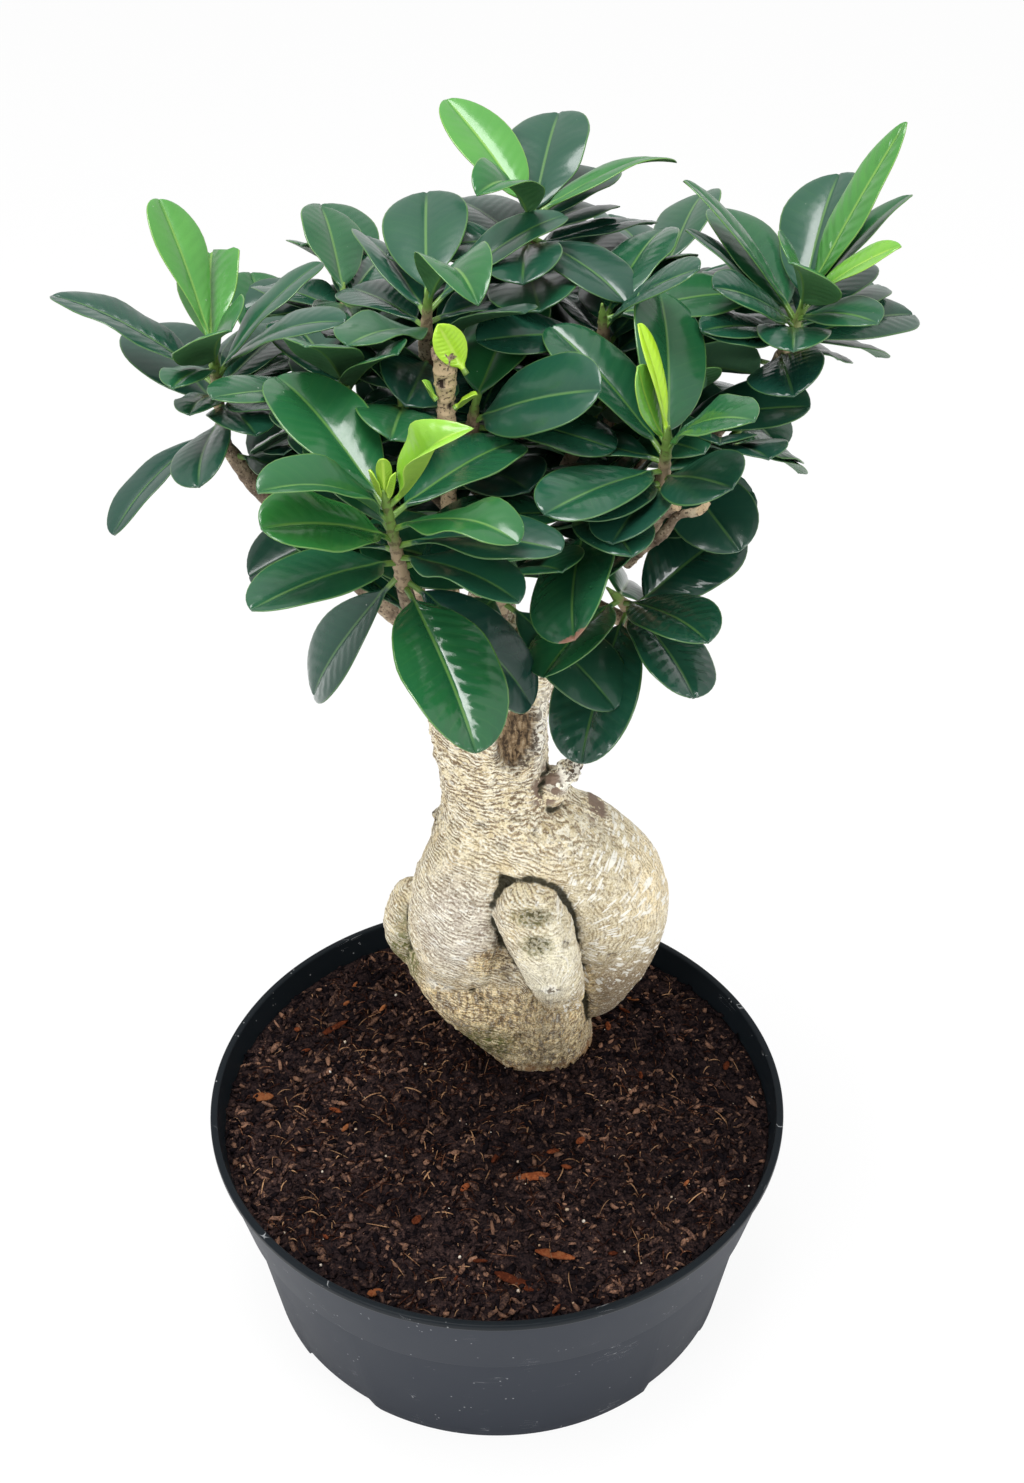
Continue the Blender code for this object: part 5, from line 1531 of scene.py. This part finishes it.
def grow_inner_leaves():
    pick = random.Random(17)
    pile = Pile()
    for base, pose in wood_leaves:
        look = dict(LOOK, age=pick.uniform(0.04, 0.22), gloss=pick.uniform(0.2, 0.7),
                    wave=pick.uniform(0.1, 0.8), **chance_shape(pick))
        add_leaf(pile, base, pose, look, pick, FEWER_COLUMNS, FEWER_LENGTHS)
    pile.piece("inner_leaves", leaf_green, "leaf")


# %% [markdown]
# The youngest growth is yellow-green. The cut twig has one small leaf at its top and a bud on each
# side, and the foremost shoot ends in a tuft of pointed bud scales. All are leaves in small.
# %% Sprouts
# where each stands, its pose and its age
SPROUTS = [((-6.8, -40.5, 418.5), (176, 62, 16.5, 9.5, -68, -25), 0.95),
           ((-10.4, -40.0, 408), (345, 38, 8.5, 5.0, 0, 10), 0.86),
           ((-15.6, -39.0, 410), (168, 58, 7.0, 3.4, 0, 0), 0.80),
           ((-28.2, -80.6, 400), (195, 68, 10, 4.2, 0, -20), 0.96),
           ((-27.8, -80.6, 400), (335, 72, 9, 4.0, 0, -20), 0.95),
           ((-28.2, -81.0, 401), (268, 84, 12, 4.4, 0, 10), 0.97)]


def grow_sprouts():
    pick = random.Random(29)
    pile = Pile()
    for base, pose, age in SPROUTS:
        look = dict(LOOK, age=age, gloss=0.5, wave=0.2, quilt=0.05, belly=0.56, blunt=0.6, fold=0.5)
        add_leaf(pile, base, pose, look, pick, FEWER_COLUMNS, FEWER_LENGTHS)
    pile.piece("sprouts", leaf_green, "leaf")


grow_shoots()
grow_sprouts()
grow_inner_leaves()


# %% [markdown]
# ## The peat
# Potting peat is a heap of soft crumbs, root fibres and bits of bark. A rolling surface gives the
# lie of the land, and thousands of small crumbs, fibres and chips scattered over it give the eye
# something to hold on to. Each crumb is a dented ball with its own shade.
# %% The lie of the peat
PEAT_EDGE, PEAT_MOUND, PEAT_REACH, PEAT_FOOT = 81.5, 5.5, 110.0, 60.0      # mm
PEAT_TAPER = 0.965                     # reach of the peat's foot, as a share of its top's
HEAP, HEAP_REACH, HEAP_WIDTH, HEAP_HEIGHT = (14, 30), 30, 12, 2.2          # the ring at the root
RINGS, SPOKES = 104, 340


def peat_height(x, y):
    """Height of the peat at points, in mm: a low mound with soft lumps."""
    r = np.hypot(x, y)
    flat = np.stack([x, y, np.zeros_like(x)], 1)
    off_heap = np.hypot(x - HEAP[0], y - HEAP[1]) - HEAP_REACH
    heap = HEAP_HEIGHT * np.exp(-(off_heap / HEAP_WIDTH) ** 2)
    lumps = 1.7 * wobble(flat, 24, 2, 7) + 1.7 * wobble(flat, 7, 3, 31)
    return PEAT_EDGE + PEAT_MOUND * (1 - (r / PEAT_REACH) ** 2) + heap + lumps * step(r, 111, 100)


def make_peat(finish):
    radii = np.linspace(0.5, PEAT_REACH, RINGS)
    turns = circle(SPOKES)
    x = np.outer(radii, np.cos(turns)).ravel()
    y = np.outer(radii, np.sin(turns)).ravel()
    top = np.stack([x, y, peat_height(x, y)], 1)
    top[:, 2] += 0.55 * wobble(top * (1, 1, 0), 2.6, 3, 60)
    foot = np.column_stack([top[-SPOKES:, :2] * PEAT_TAPER, np.full(SPOKES, PEAT_FOOT)])
    centre = np.array([[0, 0, PEAT_FOOT], [0, 0, top[0, 2]]])
    points = np.concatenate([top, foot, centre])
    ring = np.arange(SPOKES)
    after = (ring + 1) % SPOKES
    faces = [np.stack([r * SPOKES + ring, (r + 1) * SPOKES + ring, (r + 1) * SPOKES + after,
                       r * SPOKES + after], 1) for r in range(RINGS)]
    pile = Pile()
    pile.add(points, np.concatenate(faces), tone=0.3)
    last = RINGS * SPOKES
    pile.faces += np.stack([last + ring, np.full(SPOKES, len(points) - 2), last + after], 1).tolist()
    pile.faces += np.stack([ring, after, np.full(SPOKES, len(points) - 1)], 1).tolist()
    return pile.piece("peat", finish, "peat", "soil")


# %% [markdown]
# The peat is nearly black where it's moist and red-brown where it has dried. One finish serves the
# ground and everything on it: the shade comes with each crumb, and noise breaks it up.
# %% Peat finish
def peat_finish(name, dark, middle, light, roughness=0.95):
    finish = Finish(name, Specular_IOR_Level=0.0)
    at = finish.place()
    shade = finish.note("tone") + (finish.cloud(2.2, 3, at) - 0.5) * 0.8
    shade = shade + (finish.cloud(0.8, 2, at) - 0.5) * 0.9
    wet = finish.cloud(26, 2, at).rise(0.40, 0.62)
    colour = finish.ramp(shade, (0.15, dark), (0.5, middle), (0.9, light))
    finish.use(Base_Color=finish.blend(wet * 0.5, colour, dark), Roughness=roughness - 0.15 * wet,
               Normal=finish.bump(finish.cloud(0.9, 3, at), 0.5))
    return finish


peat_brown = peat_finish("peat", (0.0072, 0.0056, 0.0068, 1), (0.052, 0.0310, 0.0280, 1),
                         (0.310, 0.165, 0.105, 1))
fibre_finish = peat_finish("fibre", (0.026, 0.010, 0.007, 1), (0.130, 0.052, 0.030, 1),
                           (0.520, 0.300, 0.160, 1), 0.85)
chip_finish = peat_finish("bark chip", (0.060, 0.016, 0.008, 1), (0.240, 0.065, 0.025, 1),
                          (0.360, 0.140, 0.055, 1), 0.8)
grit_finish = peat_finish("pale grit", (0.300, 0.180, 0.110, 1), (0.550, 0.430, 0.310, 1),
                          (0.800, 0.760, 0.680, 1), 0.8)
make_peat(peat_brown)


# %% Crumbs, fibres and chips
CRUMBS, FIBRES, NESTS, SMALL_CHIPS, GRIT = 8500, 2000, 60, 26, 110
FIBRE_STEPS = 6
TRUNK_FOOT, TRUNK_FOOT_REACH = (16.0, 33.0), 21.0      # mm


def scatter(pick, count, reach=109.0):
    """Even random points on the peat, outside the root's foot."""
    x, y = pick.uniform(-reach, reach, (2, 3 * count))
    off_trunk = np.hypot(x - TRUNK_FOOT[0], y - TRUNK_FOOT[1]) > TRUNK_FOOT_REACH
    keep = off_trunk & (np.hypot(x, y) < reach)
    return x[keep][:count], y[keep][:count]


def turned(turn, tilt):
    """The matrix that tilts a shape in its own plane and then turns it around Z."""
    spin = np.array([[math.cos(turn), -math.sin(turn), 0], [math.sin(turn), math.cos(turn), 0],
                     [0, 0, 1]])
    lean = np.array([[math.cos(tilt), 0, math.sin(tilt)], [0, 1, 0],
                     [-math.sin(tilt), 0, math.cos(tilt)]])
    return spin @ lean


def make_crumbs():
    pick = np.random.default_rng(3)
    ball, faces = icosphere(1)
    x, y = scatter(pick, CRUMBS)
    pile = Pile()
    for a, b, c in zip(x, y, peat_height(x, y)):
        size = 0.55 + 1.15 * pick.random() ** 2.2
        stretch = size * pick.uniform((0.8, 0.45, 0.4), (2.6, 0.95, 0.8))
        dented = ball * (1 + pick.uniform(-0.38, 0.38, (len(ball), 1))) * stretch
        way = turned(pick.uniform(0, math.tau), pick.uniform(-0.6, 0.6))
        points = dented @ way.T + (a, b, c + size * pick.uniform(0.0, 0.75))
        pile.add(points, faces, tone=min(0.95, pick.normal(0.30, 0.27)))
    return pile.piece("peat_crumbs", peat_brown, "peat")


def make_fibres():
    pick = np.random.default_rng(8)
    x, y = scatter(pick, FIBRES, 107)
    nests = pick.integers(0, NESTS, FIBRES // 3)
    for axis in (x, y):                # a third of them lie tangled around a few places
        axis[:len(nests)] = axis[nests] + pick.normal(0, 5.5, len(nests))
    too_far = np.hypot(x, y) > 106
    x[too_far], y[too_far] = x[too_far] * 0.8, y[too_far] * 0.8
    share = np.linspace(-1, 1, FIBRE_STEPS)
    pile = Pile()
    for a, b, c in zip(x, y, peat_height(x, y)):
        length = 2.5 + 10 * pick.random() ** 2.5
        heading, curve = pick.uniform(0, math.tau), pick.normal(0, 0.11)
        way = heading + curve * np.arange(FIBRE_STEPS)
        path = np.stack([np.cumsum(np.cos(way)), np.cumsum(np.sin(way))], 1) * length / FIBRE_STEPS
        path -= path[FIBRE_STEPS // 2]
        height = c + 0.9 + pick.uniform(-0.2, 0.9) - pick.uniform(0.5, 1.6) * share ** 2
        radius = pick.uniform(0.10, 0.34) * (1 - 0.5 * abs(share))
        route = np.column_stack([a + path[:, 0], b + path[:, 1], height, radius])
        pile.add(*tube(route, 4), tone=pick.random() ** 2.3)
    return pile.piece("root_fibres", fibre_finish, "peat")


# %% Bark chips and grit
# x, y, heading, length, width and shade of the chips that stand out
CHIPS = [(14, -41, 8, 13, 4.5, 0.5), (22, -77, -8, 15, 4.0, 0.6), (8, -89, -22, 18, 4.5, 0.1),
         (-96, 4, -5, 9, 5.0, 0.8), (33, -24, 40, 4, 3.0, 0.4),
         (-44, -93, 20, 6, 3.5, 0.7), (-70, 42, 35, 14, 3.0, 0.2), (-30, -62, 60, 5, 3.5, 0.3)]
CHIP_STEPS, CHIP_SIDES, CHIP_HIGH = 9, 10, 0.75


def make_chips():
    pick = np.random.default_rng(21)
    x, y = scatter(pick, SMALL_CHIPS, 104)
    more = [(a, b, pick.uniform(0, 180), pick.uniform(2.5, 6), pick.uniform(1.2, 2.6),
             pick.uniform(0, 1)) for a, b in zip(x, y)]
    turns = circle(CHIP_SIDES)
    pile = Pile()
    for a, b, heading, length, width, shade in CHIPS + more:
        c = peat_height(np.array([a]), np.array([b]))[0]
        turn = math.radians(heading)
        way = np.array((math.cos(turn), math.sin(turn), pick.uniform(-0.15, 0.15)))
        side = np.array((-math.sin(turn), math.cos(turn), 0))
        rows = []
        for s in np.linspace(-1, 1, CHIP_STEPS):
            wide = width / 2 * (1 - 0.75 * abs(s) ** 3) * pick.uniform(0.82, 1.1)
            high = CHIP_HIGH * (1 - 0.6 * s * s) * pick.uniform(0.8, 1.2, CHIP_SIDES)
            rows.append(np.array((a, b, c + 1.1)) + way * (s * length / 2)
                        + np.outer(np.cos(turns) * wide, side)
                        + np.outer(np.sin(turns) * high, (0, 0, 1)))
        pile.add(np.concatenate(rows), skin(CHIP_STEPS, CHIP_SIDES), tone=shade)
    return pile.piece("bark_chips", chip_finish, "peat")


def make_grit():
    pick = np.random.default_rng(33)
    ball, faces = icosphere(1)
    x, y = scatter(pick, GRIT)
    pile = Pile()
    for a, b, c in zip(x, y, peat_height(x, y)):
        size = 0.2 + 0.6 * pick.random() ** 3
        points = ball * (1 + pick.uniform(-0.2, 0.2, (len(ball), 1))) * size + (a, b, c + 0.9)
        pile.add(points, faces, tone=pick.uniform(0, 1))
    return pile.piece("pale_grit", grit_finish, "peat")


make_crumbs()
make_fibres()
make_chips()
make_grit()
